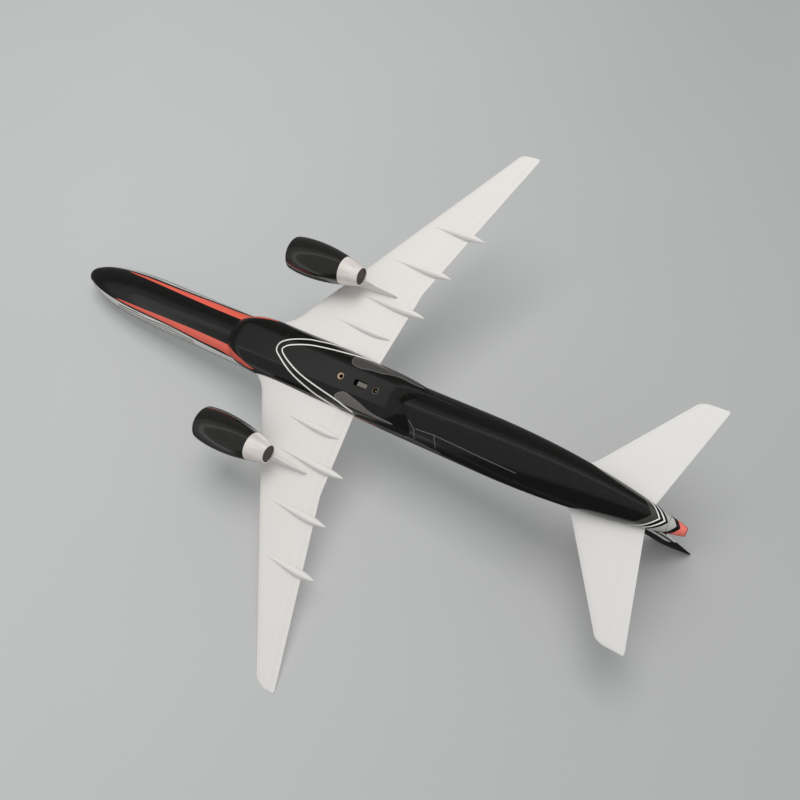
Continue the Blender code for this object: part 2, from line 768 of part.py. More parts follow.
def lip_profile():
    outer = LIP_RADIUS - 0.4 * MM - GAP
    crest = (outer + THROAT_RADIUS) / 2
    shoulders = [(crest + 0.3 * MM, 0.1 * MM), (crest - 0.1 * MM, 0.1 * MM)]
    inside = [(THROAT_RADIUS + 0.15 * MM, 0.7 * MM), (THROAT_RADIUS, LIP_LENGTH)]
    return [(outer, LIP_LENGTH), (outer, 0.7 * MM)] + shoulders + inside


def nozzle_radius(station):
    share = (station - COWL_END) / (NOZZLE_END - COWL_END)
    swell = 0.25 * MM * math.sin(math.pi * share)
    return COWL_END_RADIUS - 0.1 * MM + (NOZZLE_END_RADIUS - COWL_END_RADIUS) * share + swell


def nozzle_profile():
    stations = spread(NOZZLE_END, COWL_END + GAP, 5)
    outside = [(nozzle_radius(s), s) for s in stations]
    inside = [(nozzle_radius(s) - SHEET, s) for s in reversed(stations)]
    return [(r, s - ENGINE_FRONT) for r, s in outside + inside]


def plug_profile():
    """A closed disc, slightly domed, that blanks the nozzle just inside its end."""
    face = NOZZLE_END - PLUG_RECESS - ENGINE_FRONT
    rim = nozzle_radius(NOZZLE_END - PLUG_RECESS) - SHEET - GAP
    back = face - 2 * MM
    return [(0.0, face), (rim * 0.5, face - 0.1 * MM), (rim, face - 0.4 * MM), (rim, back), (0.0, back)]


def blade_ring(front, turn):
    """A star-shaped section of the rotor: each blade's root, two tip corners and root again."""
    ring = []
    pitch = 2 * math.pi / FAN_BLADES
    for blade in range(FAN_BLADES):
        base = blade * pitch + turn
        corners = zip((0.1, 0.3, 0.7, 0.9), (FAN_HUB_RADIUS, FAN_RADIUS, FAN_RADIUS, FAN_HUB_RADIUS))
        for share, radius in corners:
            angle = base + share * pitch
            ring.append((radius * math.cos(angle), front, radius * math.sin(angle)))
    return ring


def add_fan(model, side, label, centre):
    """The bladed rotor, its origin on the engine's axis, with a spinner and a blind bore."""
    half = FAN_THICKNESS / 2
    twist = math.radians(16) * side
    rotor = loft([blade_ring(-half, 0.0), blade_ring(0.0, twist / 2), blade_ring(half, twist)])
    fan = model.add("fan_" + label, rotor, warm_silver(), centre)
    spinner = bmesh.new()
    bmesh.ops.create_cone(
        spinner, cap_ends=True, segments=FAN_BLADES,
        radius1=FAN_HUB_RADIUS + 0.2 * MM, radius2=0.3 * MM, depth=5 * MM)
    cone = model.add_cutter("spinner_" + label, spinner, (centre[0], centre[1] - half - 2 * MM, centre[2]))
    cone.rotation_euler = (math.pi / 2, 0.0, 0.0)
    boolean(fan, cone, "UNION")
    bore = upright_cylinder(FAN_PIN_RADIUS + FAN_CLEARANCE, FAN_THICKNESS + 1 * MM, 16)
    hole = model.add_cutter("fan_bore_" + label, bore, (centre[0], centre[1] - half + 0.5 * MM, centre[2]))
    hole.rotation_euler = (-math.pi / 2, 0.0, 0.0)
    boolean(fan, hole)


def add_core(model, label, centre):
    """The fixed centre body on four vanes, which holds the pin that the fan turns on."""
    front = FAN_THICKNESS / 2 + GAP
    radius = FAN_HUB_RADIUS
    core = model.add(
        "engine_core_" + label, upright_cylinder(radius, CORE_LENGTH, 20), warm_silver(),
        (centre[0], centre[1] + front, centre[2]))
    core.rotation_euler = (-math.pi / 2, 0.0, 0.0)
    reach = 2 * (THROAT_RADIUS - GAP / 2 - 0.2 * MM)
    upright = (VANE_THICKNESS, VANE_CHORD, reach)
    level = (reach, VANE_CHORD, VANE_THICKNESS)
    for name, size in (("upright", upright), ("level", level)):
        vanes = model.add_cutter(
            "vane_%s_%s" % (name, label), box(size), (centre[0], centre[1] + front + 4 * MM, centre[2]))
        boolean(core, vanes, "UNION")
    seat = upright_cylinder(FAN_PIN_RADIUS + FAN_CLEARANCE, FAN_PIN_LENGTH, 16)
    hole = model.add_cutter("pin_seat_" + label, seat, (centre[0], centre[1], centre[2]))
    hole.rotation_euler = (-math.pi / 2, 0.0, 0.0)
    boolean(core, hole)
    pin = model.add(
        "fan_pin_" + label, upright_cylinder(FAN_PIN_RADIUS, FAN_PIN_LENGTH, 16), polished_metal(),
        (centre[0], centre[1] - FAN_THICKNESS / 2 + 0.8 * MM, centre[2]))
    pin.rotation_euler = (-math.pi / 2, 0.0, 0.0)


def engine_envelope(model, label, front_centre):
    """The outside of cowl and nozzle, grown by the gap, which trims the pylon."""
    stations = spread(NOZZLE_END + 2 * MM, COWL_END, 3) + spread(COWL_END - 3 * MM, ENGINE_FRONT, 7)
    outside = []
    for station in stations:
        radius = cowl_radius(station) if station < COWL_END else nozzle_radius(station)
        outside.append((radius + GAP, station - ENGINE_FRONT))
    profile = [(0.0, outside[0][1])] + outside + [(0.0, outside[-1][1])]
    envelope = model.add_cutter("engine_envelope_" + label, wire(profile, False), front_centre)
    envelope.rotation_euler = (-math.pi / 2, 0.0, 0.0)
    add_screw(envelope)
    return envelope


def pylon_ring(side, height, front, back):
    """A pointed oval at one height, widest over the front third of its length."""
    middle = front + (back - front) * 0.45
    ring = []
    for share in spread(0.0, 1.0, 9):
        station = front + (back - front) * share
        span = (middle - front) if station < middle else (back - middle)
        away = abs(station - middle) / span
        half = PYLON_HALF_WIDTH * (math.sqrt(1 - away ** 2) if station < middle else 1 - away ** 1.7)
        ring.append((half + 0.15 * MM, station))
    left = [(side * ENGINE_OUT + half, station, height) for half, station in ring]
    right = [(side * ENGINE_OUT - half, station, height) for half, station in reversed(ring)]
    return left + right


def add_pylon(model, side, label, engine, wing_clearance):
    rings = [pylon_ring(side, height, front, back) for height, front, back in PYLON_SLICES]
    pylon = model.add("pylon_" + label, loft(rings), satin_white())
    boolean(pylon, engine)
    boolean(pylon, wing_clearance)


def add_engine(model, side, label):
    front_centre = (side * ENGINE_OUT, ENGINE_FRONT, ENGINE_HEIGHT)
    fan_centre = (side * ENGINE_OUT, FAN_STATION, ENGINE_HEIGHT)
    model.add_turned("engine_cowl_" + label, cowl_profile(), gloss_black(), front_centre)
    model.add_turned("intake_lip_" + label, lip_profile(), polished_metal(), front_centre)
    model.add_turned("exhaust_nozzle_" + label, nozzle_profile(), warm_silver(), front_centre)
    model.add_turned("exhaust_plug_" + label, plug_profile(), dark_brown(), front_centre, closed=False)
    add_fan(model, side, label, fan_centre)
    add_core(model, label, fan_centre)
    envelope = engine_envelope(model, label, front_centre)
    wing_clearance = model.add_cutter("wing_clearance_" + label, wing_solid(side, GAP))
    add_pylon(model, side, label, envelope, wing_clearance)


# ---------------------------------------------------------------- cabin lighting

def add_battery(model):
    height = -HALF_HEIGHT + WALL + BATTERY_RADIUS + GAP
    cell = model.add(
        "battery", upright_cylinder(BATTERY_RADIUS, BATTERY_LENGTH, 20), battery_blue(),
        (0.0, BATTERY_FRONT, height))
    cell.rotation_euler = (-math.pi / 2, 0.0, 0.0)


def add_lights(model):
    """A circuit strip under the crown, with lamps spaced along its lower face."""
    model.add("light_board", box(BOARD_SIZE), circuit_green(), (0.0, BOARD_STATION, BOARD_HEIGHT))
    lamp_height = BOARD_HEIGHT - (BOARD_SIZE[2] + LAMP_SIZE[2]) / 2 - GAP
    for number, station in enumerate(spread(100 * MM, 320 * MM, LAMP_COUNT), 1):
        model.add("lamp_%d" % number, box(LAMP_SIZE), lamp_white(), (0.0, station, lamp_height))


def add_wire(model, name, points, surface):
    curve = bpy.data.curves.new(name, "CURVE")
    curve.dimensions = "3D"
    curve.bevel_depth = WIRE_RADIUS
    curve.bevel_resolution = 0
    curve.use_fill_caps = True
    spline = curve.splines.new("POLY")
    spline.points.add(len(points) - 1)
    for slot, point in zip(spline.points, points):
        slot.co = (*point, 1.0)
    curve.materials.append(surface)
    obj = bpy.data.objects.new(name, curve)
    obj.parent = model.datum
    model.parts.objects.link(obj)


def arc_route(start, end, bow, count=8):
    """Points from start to end along a curve that bows aft in the middle."""
    points = []
    for t in spread(0.0, 1.0, count):
        point = Vector(start).lerp(Vector(end), t)
        point.y += bow * math.sin(math.pi * t)
        points.append(tuple(point))
    return points


def add_wires(model):
    board_face = BOARD_HEIGHT - BOARD_SIZE[2] / 2 - WIRE_RADIUS - 0.1 * MM
    switch_top = -HALF_HEIGHT + SWITCH_SIZE[2] + 1.6 * MM
    jack_top = -PAD_DEPTH + JACK_LENGTH + 1 * MM
    battery_end = (2 * MM, BATTERY_FRONT + BATTERY_LENGTH + 0.6 * MM, -HALF_HEIGHT + 8 * MM)
    battery_run = arc_route(battery_end, (2 * MM, 203 * MM, board_face), 6 * MM)
    add_wire(model, "battery_wire", battery_run, wire_red())
    light_run = arc_route((0.0, SWITCH_STATION - 3 * MM, switch_top), (0.0, 236 * MM, board_face), -4 * MM)
    add_wire(model, "light_wire", light_run, gloss_black())
    jack_run = arc_route((0.0, JACK_STATION + 1 * MM, jack_top), (0.0, 262 * MM, board_face), 8 * MM)
    add_wire(model, "jack_wire", jack_run, gloss_black())


# ---------------------------------------------------------------- the whole model

def build():
    clear_scene()
    model = Model()
    body_clearance = model.add_cutter("body_clearance", full_body(0.5 * MM, LENGTH, GAP))
    fairing_clearance = model.add_cutter("fairing_clearance", fairing_solid(GAP))
    sides = ((1, "left"), (-1, "right"))
    wing_sockets = [wing_socket(model, side, label) for side, label in sides]
    tail_sockets = [
        model.add_cutter("tailplane_socket_" + label, tailplane_tongue(side, GAP)) for side, label in sides]
    fin_socket = model.add_cutter("fin_socket", fin_tongue(GAP))
    add_fuselage(model, {"upper": tail_sockets + [fin_socket], "lower": wing_sockets})
    add_fairing(model, body_clearance, wing_sockets)
    add_insert(model)
    add_switch(model)
    add_jack(model)
    add_fin(model, body_clearance)
    for side, label in sides:
        add_wing(model, side, label, (body_clearance, fairing_clearance))
        add_tailplane(model, side, label, body_clearance)
        add_engine(model, side, label)
    add_battery(model)
    add_lights(model)
    add_wires(model)


build()
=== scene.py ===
"""Looks of the desktop airliner model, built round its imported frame.

Shapes are worked out in model millimetres: x to port, stations aft from the nose tip and heights
up from the fuselage axis. Paint lines are distances kept on the mesh, read by the materials.
"""

from math import cos, pi, radians, sin

import bmesh
import bpy
import numpy as np
from mathutils import Matrix, Vector


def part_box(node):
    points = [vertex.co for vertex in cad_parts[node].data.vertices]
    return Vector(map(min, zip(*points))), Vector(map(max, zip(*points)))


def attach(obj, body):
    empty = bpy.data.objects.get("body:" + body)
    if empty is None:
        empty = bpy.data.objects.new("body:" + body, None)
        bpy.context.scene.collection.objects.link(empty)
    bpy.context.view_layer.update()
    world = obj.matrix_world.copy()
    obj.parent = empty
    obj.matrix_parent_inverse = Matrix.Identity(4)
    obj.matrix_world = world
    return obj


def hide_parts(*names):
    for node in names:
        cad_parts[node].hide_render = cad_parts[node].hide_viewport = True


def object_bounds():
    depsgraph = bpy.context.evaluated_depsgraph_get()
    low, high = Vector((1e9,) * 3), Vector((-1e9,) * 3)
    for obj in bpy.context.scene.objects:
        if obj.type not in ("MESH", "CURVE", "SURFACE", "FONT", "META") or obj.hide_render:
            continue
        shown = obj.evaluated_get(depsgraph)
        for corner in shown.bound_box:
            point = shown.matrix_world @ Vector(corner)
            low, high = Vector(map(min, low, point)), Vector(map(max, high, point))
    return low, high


MM = 0.001
CREASE = radians(35)

# Fuselage, in model millimetres
LENGTH = 464.0
HALF_WIDTH = 17.9
HALF_HEIGHT = 19.2
WALL = 1.4
NOSE_LENGTH = 72.0
NOSE_DROOP = 7.0
TAPER_START = 335.0
UPSWEEP_START = 305.0
TAIL_HALF_WIDTH = 2.7
TAIL_TOP = 11.2
TAIL_BOTTOM = 3.8
CONE_START = 454.0
CONE_BORE_RADIUS = 1.7
WINDOWS = (66.0, 384.0, 3.6, 6.6)
WINDSHIELD = (-2.0, 27.0, 4.6, 9.6)

# Belly fairing
FAIRING_START = 146.0
FAIRING_END = 304.0
PAD_END = 291.0
FAIRING_RAMP = 13.0
FAIRING_SIDE_RAMP = 34.0
FAIRING_HALF_WIDTH = 19.5
FAIRING_WIDEST = -11.0
FAIRING_SQUARENESS = 2.6
PAD_DEPTH = 22.5
STAND_STATION = 241.7
SWITCH_STATION = 257.0
JACK_STATION = 268.0
SLOT_WIDTH = 4.2
SLOT_LENGTH = 9.6
LEVER_REST = 1.0

# Wing, tailplane and fin
SEMI_SPAN = 190.6
WING_KINK = 72.6
TAILPLANE_SEMI_SPAN = 76.0
FIN_TIP = 91.5
FIN_ROOT = 17.0
RIB_PITCH = 17.3
WING_ROUNDING = 2.5
TAIL_ROUNDING = 3.0
TRACK_HALF_WIDTH = 2.6
TRACK_RISE = 1.1
TRACK_DEPTH = 3.3
TRACK_FAIRINGS = ((35.5, 213, 256), (57.0, 219, 270), (88.3, 227, 273), (120.3, 240, 281))

# Engines
ENGINE_OUT = 64.0
ENGINE_HEIGHT = -27.4
ENGINE_FRONT = 170.2
COWL_WIDEST = 186.2
COWL_END = 211.5
COWL_RADIUS = 12.5
NOZZLE_END = 224.6
NOZZLE_WALL = 0.6
PLUG_RECESS = 0.5
FAN_STATION = 178.2
FAN_RADIUS = 8.7
FAN_BLADES = 18
COWL_MOUTH = 10.5
THROAT_RADIUS = 9.2

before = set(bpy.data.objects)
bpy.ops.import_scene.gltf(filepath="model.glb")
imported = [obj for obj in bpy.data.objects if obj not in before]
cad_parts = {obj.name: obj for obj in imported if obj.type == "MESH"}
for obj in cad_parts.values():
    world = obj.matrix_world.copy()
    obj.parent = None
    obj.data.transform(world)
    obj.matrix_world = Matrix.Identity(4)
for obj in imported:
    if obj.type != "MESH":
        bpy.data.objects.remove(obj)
CAD_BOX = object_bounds()
NOSE_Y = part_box("fuselage_lower")[0].y / MM - 0.5
AXIS_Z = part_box("fuselage_upper")[1].z / MM - HALF_HEIGHT
ORIGIN = np.array((0.0, NOSE_Y, AXIS_Z))
SIDES = ((1, "left"), (-1, "right"))

looks = bpy.data.collections.new("airliner_looks")
bpy.context.scene.collection.children.link(looks)


# ---- numbers and meshes

def clamp(value, low=0.0, high=1.0):
    return np.clip(value, low, high)


def spread(low, high, count):
    return np.linspace(low, high, count)


def turns(count):
    """Evenly spaced angles round a full turn."""
    return spread(0, 2 * pi, count + 1)[:-1]


def eased(points):
    """A smooth curve through (x, y) points, as a function of x."""
    xs, ys = np.array(points, float).T
    slopes = np.gradient(ys, xs)

    def at(x):
        x = np.clip(x, xs[0], xs[-1])
        k = np.clip(np.searchsorted(xs, x) - 1, 0, len(xs) - 2)
        span = xs[k + 1] - xs[k]
        t = (x - xs[k]) / span
        rise = ys[k] * (1 + 2 * t) * (1 - t) ** 2 + ys[k + 1] * t * t * (3 - 2 * t)
        return rise + slopes[k] * span * t * (1 - t) ** 2 - slopes[k + 1] * span * t * t * (1 - t)
    return at


def placed(name, data):
    """A new object in the scene."""
    obj = bpy.data.objects.new(name, data)
    looks.objects.link(obj)
    return obj


def ring(x, y, z):
    """Points from three coordinates, any of them shared by all."""
    return np.stack(np.broadcast_arrays(x, y, z), -1)


def loft(name, rings, wrap=False):
    """A skin through closed rings of as many points each, capped at its ends or wrapped round to its start."""
    rings = np.asarray(rings, float)
    count, around = rings.shape[:2]
    faces = []
    for i in range(count if wrap else count - 1):
        a, b = i * around, (i + 1) % count * around
        for j in range(around):
            k = (j + 1) % around
            faces.append((a + j, a + k, b + k, b + j))
    if not wrap:
        faces.append(tuple(range(around - 1, -1, -1)))
        faces.append(tuple(range((count - 1) * around, count * around)))
    mesh = bpy.data.meshes.new(name)
    mesh.from_pydata(((rings.reshape(-1, 3) + ORIGIN) * MM).tolist(), [], faces)
    bm = bmesh.new()
    bm.from_mesh(mesh)
    bmesh.ops.recalc_face_normals(bm, faces=bm.faces)
    bm.to_mesh(mesh)
    bm.free()
    return placed(name, mesh)


def turned(name, profile, centre, steps=96, upright=False, wrap=False, phase=0.0):
    """A body turned about a line through centre, fore and aft or upright, from (radius, place on it) pairs.

    A wrapped profile closes on itself and makes a hollow ring.
    """
    angles = turns(steps) + phase
    rings = []
    for radius, place in profile:
        radius = max(radius, 0.02)
        across, beyond = centre[0] + radius * np.cos(angles), centre[1] + radius * np.sin(angles)
        rings.append(ring(across, beyond, place) if upright else ring(across, place, beyond))
    return loft(name, rings, wrap)


def slab(name, low, high):
    """A helper box between two model corners."""
    (x0, y0, z0), (x1, y1, z1) = low, high
    return loft(name, [[(x0, y0, z), (x1, y0, z), (x1, y1, z), (x0, y1, z)] for z in (z0, z1)])


def post(radius, low, high, station, steps=64):
    """A helper cylinder along Z, on the centreline."""
    return turned("post", ((radius, low), (radius, high)), (0.0, station), steps, True, phase=0.03)


def carve(obj, cutter, operation="DIFFERENCE", keep=False):
    """Cuts obj with cutter and makes the result its mesh."""
    cut = obj.modifiers.new("cut", "BOOLEAN")
    cut.operation = operation
    cut.object = cutter
    cut.solver = "EXACT"
    bake(obj)
    if not keep:
        bpy.data.objects.remove(cutter)


def bake(obj):
    """Turns obj's modifiers into its mesh."""
    graph = bpy.context.evaluated_depsgraph_get()
    graph.update()
    made = bpy.data.meshes.new_from_object(obj.evaluated_get(graph))
    obj.modifiers.clear()
    old = obj.data
    obj.data = made
    bpy.data.meshes.remove(old)


def rounded(obj, width, segments=2, angle=40):
    bevel = obj.modifiers.new("edge", "BEVEL")
    bevel.width = width * MM
    bevel.segments = segments
    bevel.limit_method = "ANGLE"
    bevel.angle_limit = radians(angle)
    bake(obj)


def model_points(obj):
    co = np.zeros(len(obj.data.vertices) * 3)
    obj.data.vertices.foreach_get("co", co)
    return co.reshape(-1, 3) / MM - ORIGIN


def fields(obj, **values):
    """Keeps numbers per point on the mesh, by name, for the material to read."""
    for name, numbers in values.items():
        old = obj.data.attributes.get(name)
        attribute = old or obj.data.attributes.new(name, "FLOAT", "POINT")
        attribute.data.foreach_set("value", np.asarray(numbers, np.float32))


def finish(obj, surface, node=None, body="airframe"):
    """Smooth shading with crisp edges, a material, and a place in the frame."""
    mesh = obj.data
    mesh.materials.append(surface)
    mesh.polygons.foreach_set("use_smooth", [True] * len(mesh.polygons))
    mesh.set_sharp_from_angle(angle=CREASE)
    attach(obj, body)
    if node:
        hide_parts(node)


# ---- node materials

class Nodes:
    """Writes nodes into the tree of a material or a world."""

    def __init__(self, tree):
        self.tree = tree

    def plug(self, node, key, value):
        socket = node.inputs[key]
        if hasattr(value, "is_linked"):
            self.tree.links.new(value, socket)
        else:
            socket.default_value = value

    def node(self, kind, *values, **named):
        """A new node. Lower-case names are its settings; the rest are inputs, by place or by name."""
        made = self.tree.nodes.new("ShaderNode" + kind)
        for key in [key for key in named if key.islower()]:
            setattr(made, key, named.pop(key))
        for key, value in (*enumerate(values), *named.items()):
            self.plug(made, key, value)
        return made

    def math(self, operation, a, b=0.0):
        return self.node("Math", a, b, operation=operation).outputs[0]

    def less(self, a, b):
        return self.math("SUBTRACT", a, b)

    def times(self, a, b):
        return self.math("MULTIPLY", a, b)

    def vector(self, operation, a, b=(0.0, 0.0, 0.0), share=1.0, answer="Vector"):
        made = self.node("VectorMath", a, b, operation=operation)
        self.plug(made, 3, share)
        return made.outputs[answer]

    def dot(self, a, b):
        return self.vector("DOT_PRODUCT", a, b, answer="Value")

    def range(self, value, low, high, to_low=0.0, to_high=1.0, kind="LINEAR"):
        return self.node("MapRange", value, low, high, to_low, to_high, interpolation_type=kind).outputs[0]

    def mix(self, share, a, b):
        made = self.node("Mix", share, data_type="RGBA")
        for place, value in ((6, a), (7, b)):
            self.plug(made, place, (*value, 1.0) if isinstance(value, tuple) else value)
        return made.outputs[2]


class Paint(Nodes):
    """One node material, built round its Principled shader."""

    def __init__(self, name, tone=None):
        self.tone = tone
        self.material = bpy.data.materials.new(name)
        self.material.use_nodes = True
        super().__init__(self.material.node_tree)
        self.shader = self.tree.nodes["Principled BSDF"]
        self.coords = self.node("TexCoord").outputs["Object"]

    def read(self, name):
        return self.node("Attribute", attribute_name=name).outputs["Fac"]

    def axis(self, letter):
        return self.node("SeparateXYZ", self.coords).outputs[letter]

    def model_axis(self, letter, origin):
        """A coordinate in model millimetres."""
        return self.less(self.times(self.axis(letter), 1.0 / MM), origin)

    def from_line(self, point, start, end):
        """Distance of a point from a straight stretch between two flat points."""
        start = Vector((*start, 0.0))
        reach = Vector((*end, 0.0)) - start
        away = self.vector("SUBTRACT", point, start)
        share = self.dot(away, reach / reach.length_squared)
        share = self.math("MINIMUM", self.math("MAXIMUM", share, 0.0), 1.0)
        nearest = self.vector("SCALE", reach, share=share)
        return self.vector("DISTANCE", away, nearest, answer="Value")

    def noise(self, scale, detail=3.0, vector=None):
        made = self.node("TexNoise", Scale=scale, Detail=detail, Vector=vector or self.coords)
        return made.outputs["Fac"]

    def cloudy(self, low, high, scale, detail=3.0):
        """A number that drifts between two others over the surface."""
        return self.range(self.noise(scale, detail), 0.3, 0.7, low, high)

    def over(self, distance, soft=0.06):
        """1 where distance (mm) is above zero, with a soft edge."""
        return self.range(distance, -soft, soft, kind="SMOOTHSTEP")

    def between(self, distance, low, high, soft=0.06):
        above = self.over(self.less(distance, low), soft)
        return self.times(above, self.over(self.less(high, distance), soft))

    def lay(self, share, colour):
        """Paints a colour over the tone so far, where share is 1."""
        self.tone = self.mix(share, self.tone, colour)

    def set(self, **inputs):
        for key, value in inputs.items():
            self.plug(self.shader, key.replace("_", " "), value)

    def bump(self, height, strength, distance, after=None):
        made = self.node("Bump", Height=height, Strength=strength, Distance=distance)
        if after:
            self.plug(made, "Normal", after)
        self.set(Normal=made.outputs[0])
        return made.outputs[0]


def enamel(paint, roughness=0.16, coat=0.5):
    """Sprayed gloss paint: faint orange peel, uneven sheen and a few dust specks."""
    dust = paint.over(paint.less(paint.noise(2600.0, 1.0), 0.745), 0.01)
    paint.lay(paint.times(dust, 0.22), (0.5, 0.5, 0.48))
    rough = paint.cloudy(roughness * 0.8, roughness * 1.3, 38.0)
    paint.set(Base_Color=paint.tone, Roughness=rough, Coat_Weight=coat, Coat_Roughness=0.07)
    paint.bump(paint.noise(900.0, 2.0), 0.03, 0.00004)
    return paint.material


BLACK = (0.0055, 0.0052, 0.0048)
CORAL = (0.84, 0.130, 0.085)
TAIL_CORAL = (0.80, 0.185, 0.145)
WHITE = (0.80, 0.80, 0.78)
PALE_GREY = (0.42, 0.42, 0.41)
INK_GREY = (0.05, 0.05, 0.048)
SILVER = (0.60, 0.61, 0.61)

# Stations between which the streaked band, the thin belt lines and the coral trim run; spacing and slope of the
# streaks; where the ink lines start above the black, and where the silver does
STREAK_STATIONS = (40.0, 116.0)
STREAK_PITCH = 2.1
STREAK_SLOPE = 0.06
BELT_STATIONS = (255.0, 318.0)
TRIM_STATIONS = (250.0, 271.0)
INK_RISES = (6.4, 9.4, 12.2)
SILVER_RISE = 15.2

# Hairline outlines of the hold door: (station, distance round the body from the crown) points
DOOR_LINES = (
    ((294.8, 48.4), (299.4, 44.3), (300.4, 36.8)),
    ((300.7, 44.9), (313.6, 45.9), (315.5, 36.8)),
    ((313.6, 45.9), (330.9, 45.5), (368.0, 44.5)),
)


def lay_upper(paint):
    """Black below the belt line, then fine lines, and silver up to the crown."""
    rise, stripe = paint.read("rise"), paint.read("stripe")
    station, height = paint.model_axis("Y", NOSE_Y), paint.model_axis("Z", AXIS_Z)
    paint.lay(paint.over(rise), WHITE)
    slant = paint.math("ADD", rise, paint.times(station, STREAK_SLOPE))
    streaks = paint.between(paint.math("FRACT", paint.times(slant, 1.0 / STREAK_PITCH)), 0.1, 0.5, 0.05)
    banded = paint.times(paint.between(rise, 0.9, 5.2), paint.between(station, *STREAK_STATIONS))
    paint.lay(banded, paint.mix(streaks, WHITE, (0.10, 0.10, 0.098)))
    for low in INK_RISES:
        paint.lay(paint.between(rise, low, low + 1.0), INK_GREY)
    paint.lay(paint.over(paint.less(rise, SILVER_RISE)), SILVER)
    belt = paint.between(station, *BELT_STATIONS)
    for low in (-2.35, -1.05, 0.45):
        paint.lay(paint.times(paint.between(stripe, low, low + 0.3), belt), (0.30, 0.30, 0.295))
    flat = paint.node("CombineXYZ", station, paint.read("around")).outputs[0]
    for line in DOOR_LINES:
        for start, end in zip(line, line[1:]):
            near = paint.over(paint.less(0.17, paint.from_line(flat, start, end)), 0.1)
            paint.lay(near, (0.20, 0.20, 0.19))
    trim = paint.times(paint.between(height, -3.15, -2.45), paint.between(station, *TRIM_STATIONS))
    paint.lay(trim, CORAL)


def body_paint():
    """The livery of the fuselage: black belly, coral flash, white and grey lines, silver crown."""
    paint = Paint("livery", BLACK)
    lay_upper(paint)
    paint.lay(paint.between(paint.read("coral"), 0.0, 60.0), CORAL)
    tail = paint.read("tail")
    for start, colour in (
            (444.4, INK_GREY), (447.9, BLACK), (448.5, WHITE), (449.4, BLACK), (451.3, WHITE), (452.3, BLACK),
            (453.8, PALE_GREY), (458.4, BLACK), (460.7, TAIL_CORAL)):
        paint.lay(paint.over(paint.less(tail, start)), colour)
    return enamel(paint)


def fairing_paint():
    """Black, with the coral flash, a double white bow and a grey panel each side, painted lighter to port and
    darker to starboard as painted light.
    """
    paint = Paint("fairing_livery", BLACK)
    lay_upper(paint)
    paint.lay(paint.over(paint.read("coral")), CORAL)
    panel = paint.read("panel")
    # Painted light: the port panel takes the lighter grey and the starboard panel the darker one; a lighter rim
    # runs round each panel
    lit_and_shaded_panel_fill = paint.mix(paint.over(paint.axis("X"), 0.001), (0.115, 0.108, 0.104), (0.062, 0.060, 0.058))
    lit_and_shaded_panel_fill = paint.mix(paint.between(panel, -0.1, 0.35, 0.1), lit_and_shaded_panel_fill, (0.17, 0.165, 0.16))
    paint.lay(paint.over(panel), lit_and_shaded_panel_fill)
    under = paint.over(paint.read("under"))
    for name in ("bow_outer", "bow_inner"):
        paint.lay(paint.times(paint.between(paint.read(name), -0.42, 0.42), under), WHITE)
    return enamel(paint)


def wing_paint(name, lines, tint=(0.752, 0.735, 0.715)):
    """Satin white with fine engraved lines, each so many millimetres ahead of the trailing edge."""
    paint = Paint(name, tint)
    aft = paint.read("aft")
    mark = paint.between(paint.read("ahead"), 1.9, 2.1, 0.05)
    for place, strength in lines:
        line = paint.between(aft, place - 0.11, place + 0.11)
        mark = paint.math("MAXIMUM", mark, paint.times(line, strength))
    ribs = paint.math("FRACT", paint.math("DIVIDE", paint.read("out"), RIB_PITCH))
    rib = paint.times(paint.between(ribs, 0.0, 0.012, 0.005), paint.over(paint.less(lines[-1][0], aft), 0.1))
    mark = paint.math("MAXIMUM", mark, paint.times(rib, 0.4))
    cloud = paint.cloudy(0.0, 0.09, 24.0, 4.0)
    paint.lay(cloud, (0.66, 0.63, 0.60))
    paint.lay(paint.times(mark, 0.24), (0.38, 0.36, 0.34))
    rough = paint.cloudy(0.36, 0.46, 55.0, 2.0)
    paint.set(Base_Color=paint.tone, Roughness=rough, Coat_Weight=0.12, Coat_Roughness=0.3)
    fine = paint.bump(paint.noise(1400.0, 2.0), 0.05, 0.00003)
    paint.bump(paint.less(1.0, mark), 0.4, 0.00008, fine)
    return paint.material


def fin_paint():
    """Black, with nested pale curls low down and a black tip."""
    paint = Paint("fin_livery", BLACK)
    paint.lay(paint.over(paint.read("curl")), WHITE)
    paint.lay(paint.read("edge"), BLACK)
    return enamel(paint)


def metal(name, colour, roughness, grain="Y", metallic=1.0, streaks=0.0):
    """Turned metal: fine circular tool marks, smudges, lengthwise streaks of painted reflection with a slight
    pinkish tint, and painted shade deep in bores.
    """
    paint = Paint(name, colour)
    marks = paint.node("CombineXYZ", paint.times(paint.axis(grain), 900.0)).outputs[0]
    smudge = paint.noise(120.0)
    paint.lay(paint.range(smudge, 0.35, 0.7, 0.0, 0.25), tuple(0.7 * c for c in colour))
    # Painted reflection: noise stretched along the length darkens the tone in streaks, towards a pinkish
    # painted-shade colour
    long = paint.node("CombineXYZ", X=paint.axis("X"), Z=paint.axis("Z")).outputs[0]
    painted_reflection_streak = paint.range(paint.noise(210.0, vector=long), 0.38, 0.66, 0.0, streaks)
    paint.lay(painted_reflection_streak, (0.46, 0.38, 0.35))
    rough = paint.range(smudge, 0.3, 0.7, roughness * 0.8, roughness * 1.35)
    # Painted shade: the tone goes dark brown where the mesh keeps a depth, which is deep in the stand insert's
    # bore
    paint.lay(paint.read("depth"), (0.02, 0.012, 0.008))
    paint.set(Base_Color=paint.tone, Metallic=metallic, Roughness=rough)
    paint.bump(paint.noise(4.0, 2.0, marks), 0.12, 0.00005)
    return paint.material


def plastic(name, colour, roughness=0.45, grain=700.0):
    """Moulded plastic with a fine grain and a slightly mottled tone."""
    paint = Paint(name, colour)
    paint.lay(paint.cloudy(0.0, 0.25, 60.0), tuple(0.8 * c + 0.01 for c in colour))
    rough = paint.cloudy(roughness * 0.85, roughness * 1.2, 160.0, 2.0)
    paint.set(Base_Color=paint.tone, Roughness=rough)
    paint.bump(paint.noise(grain), 0.12, 0.00005)
    return paint.material


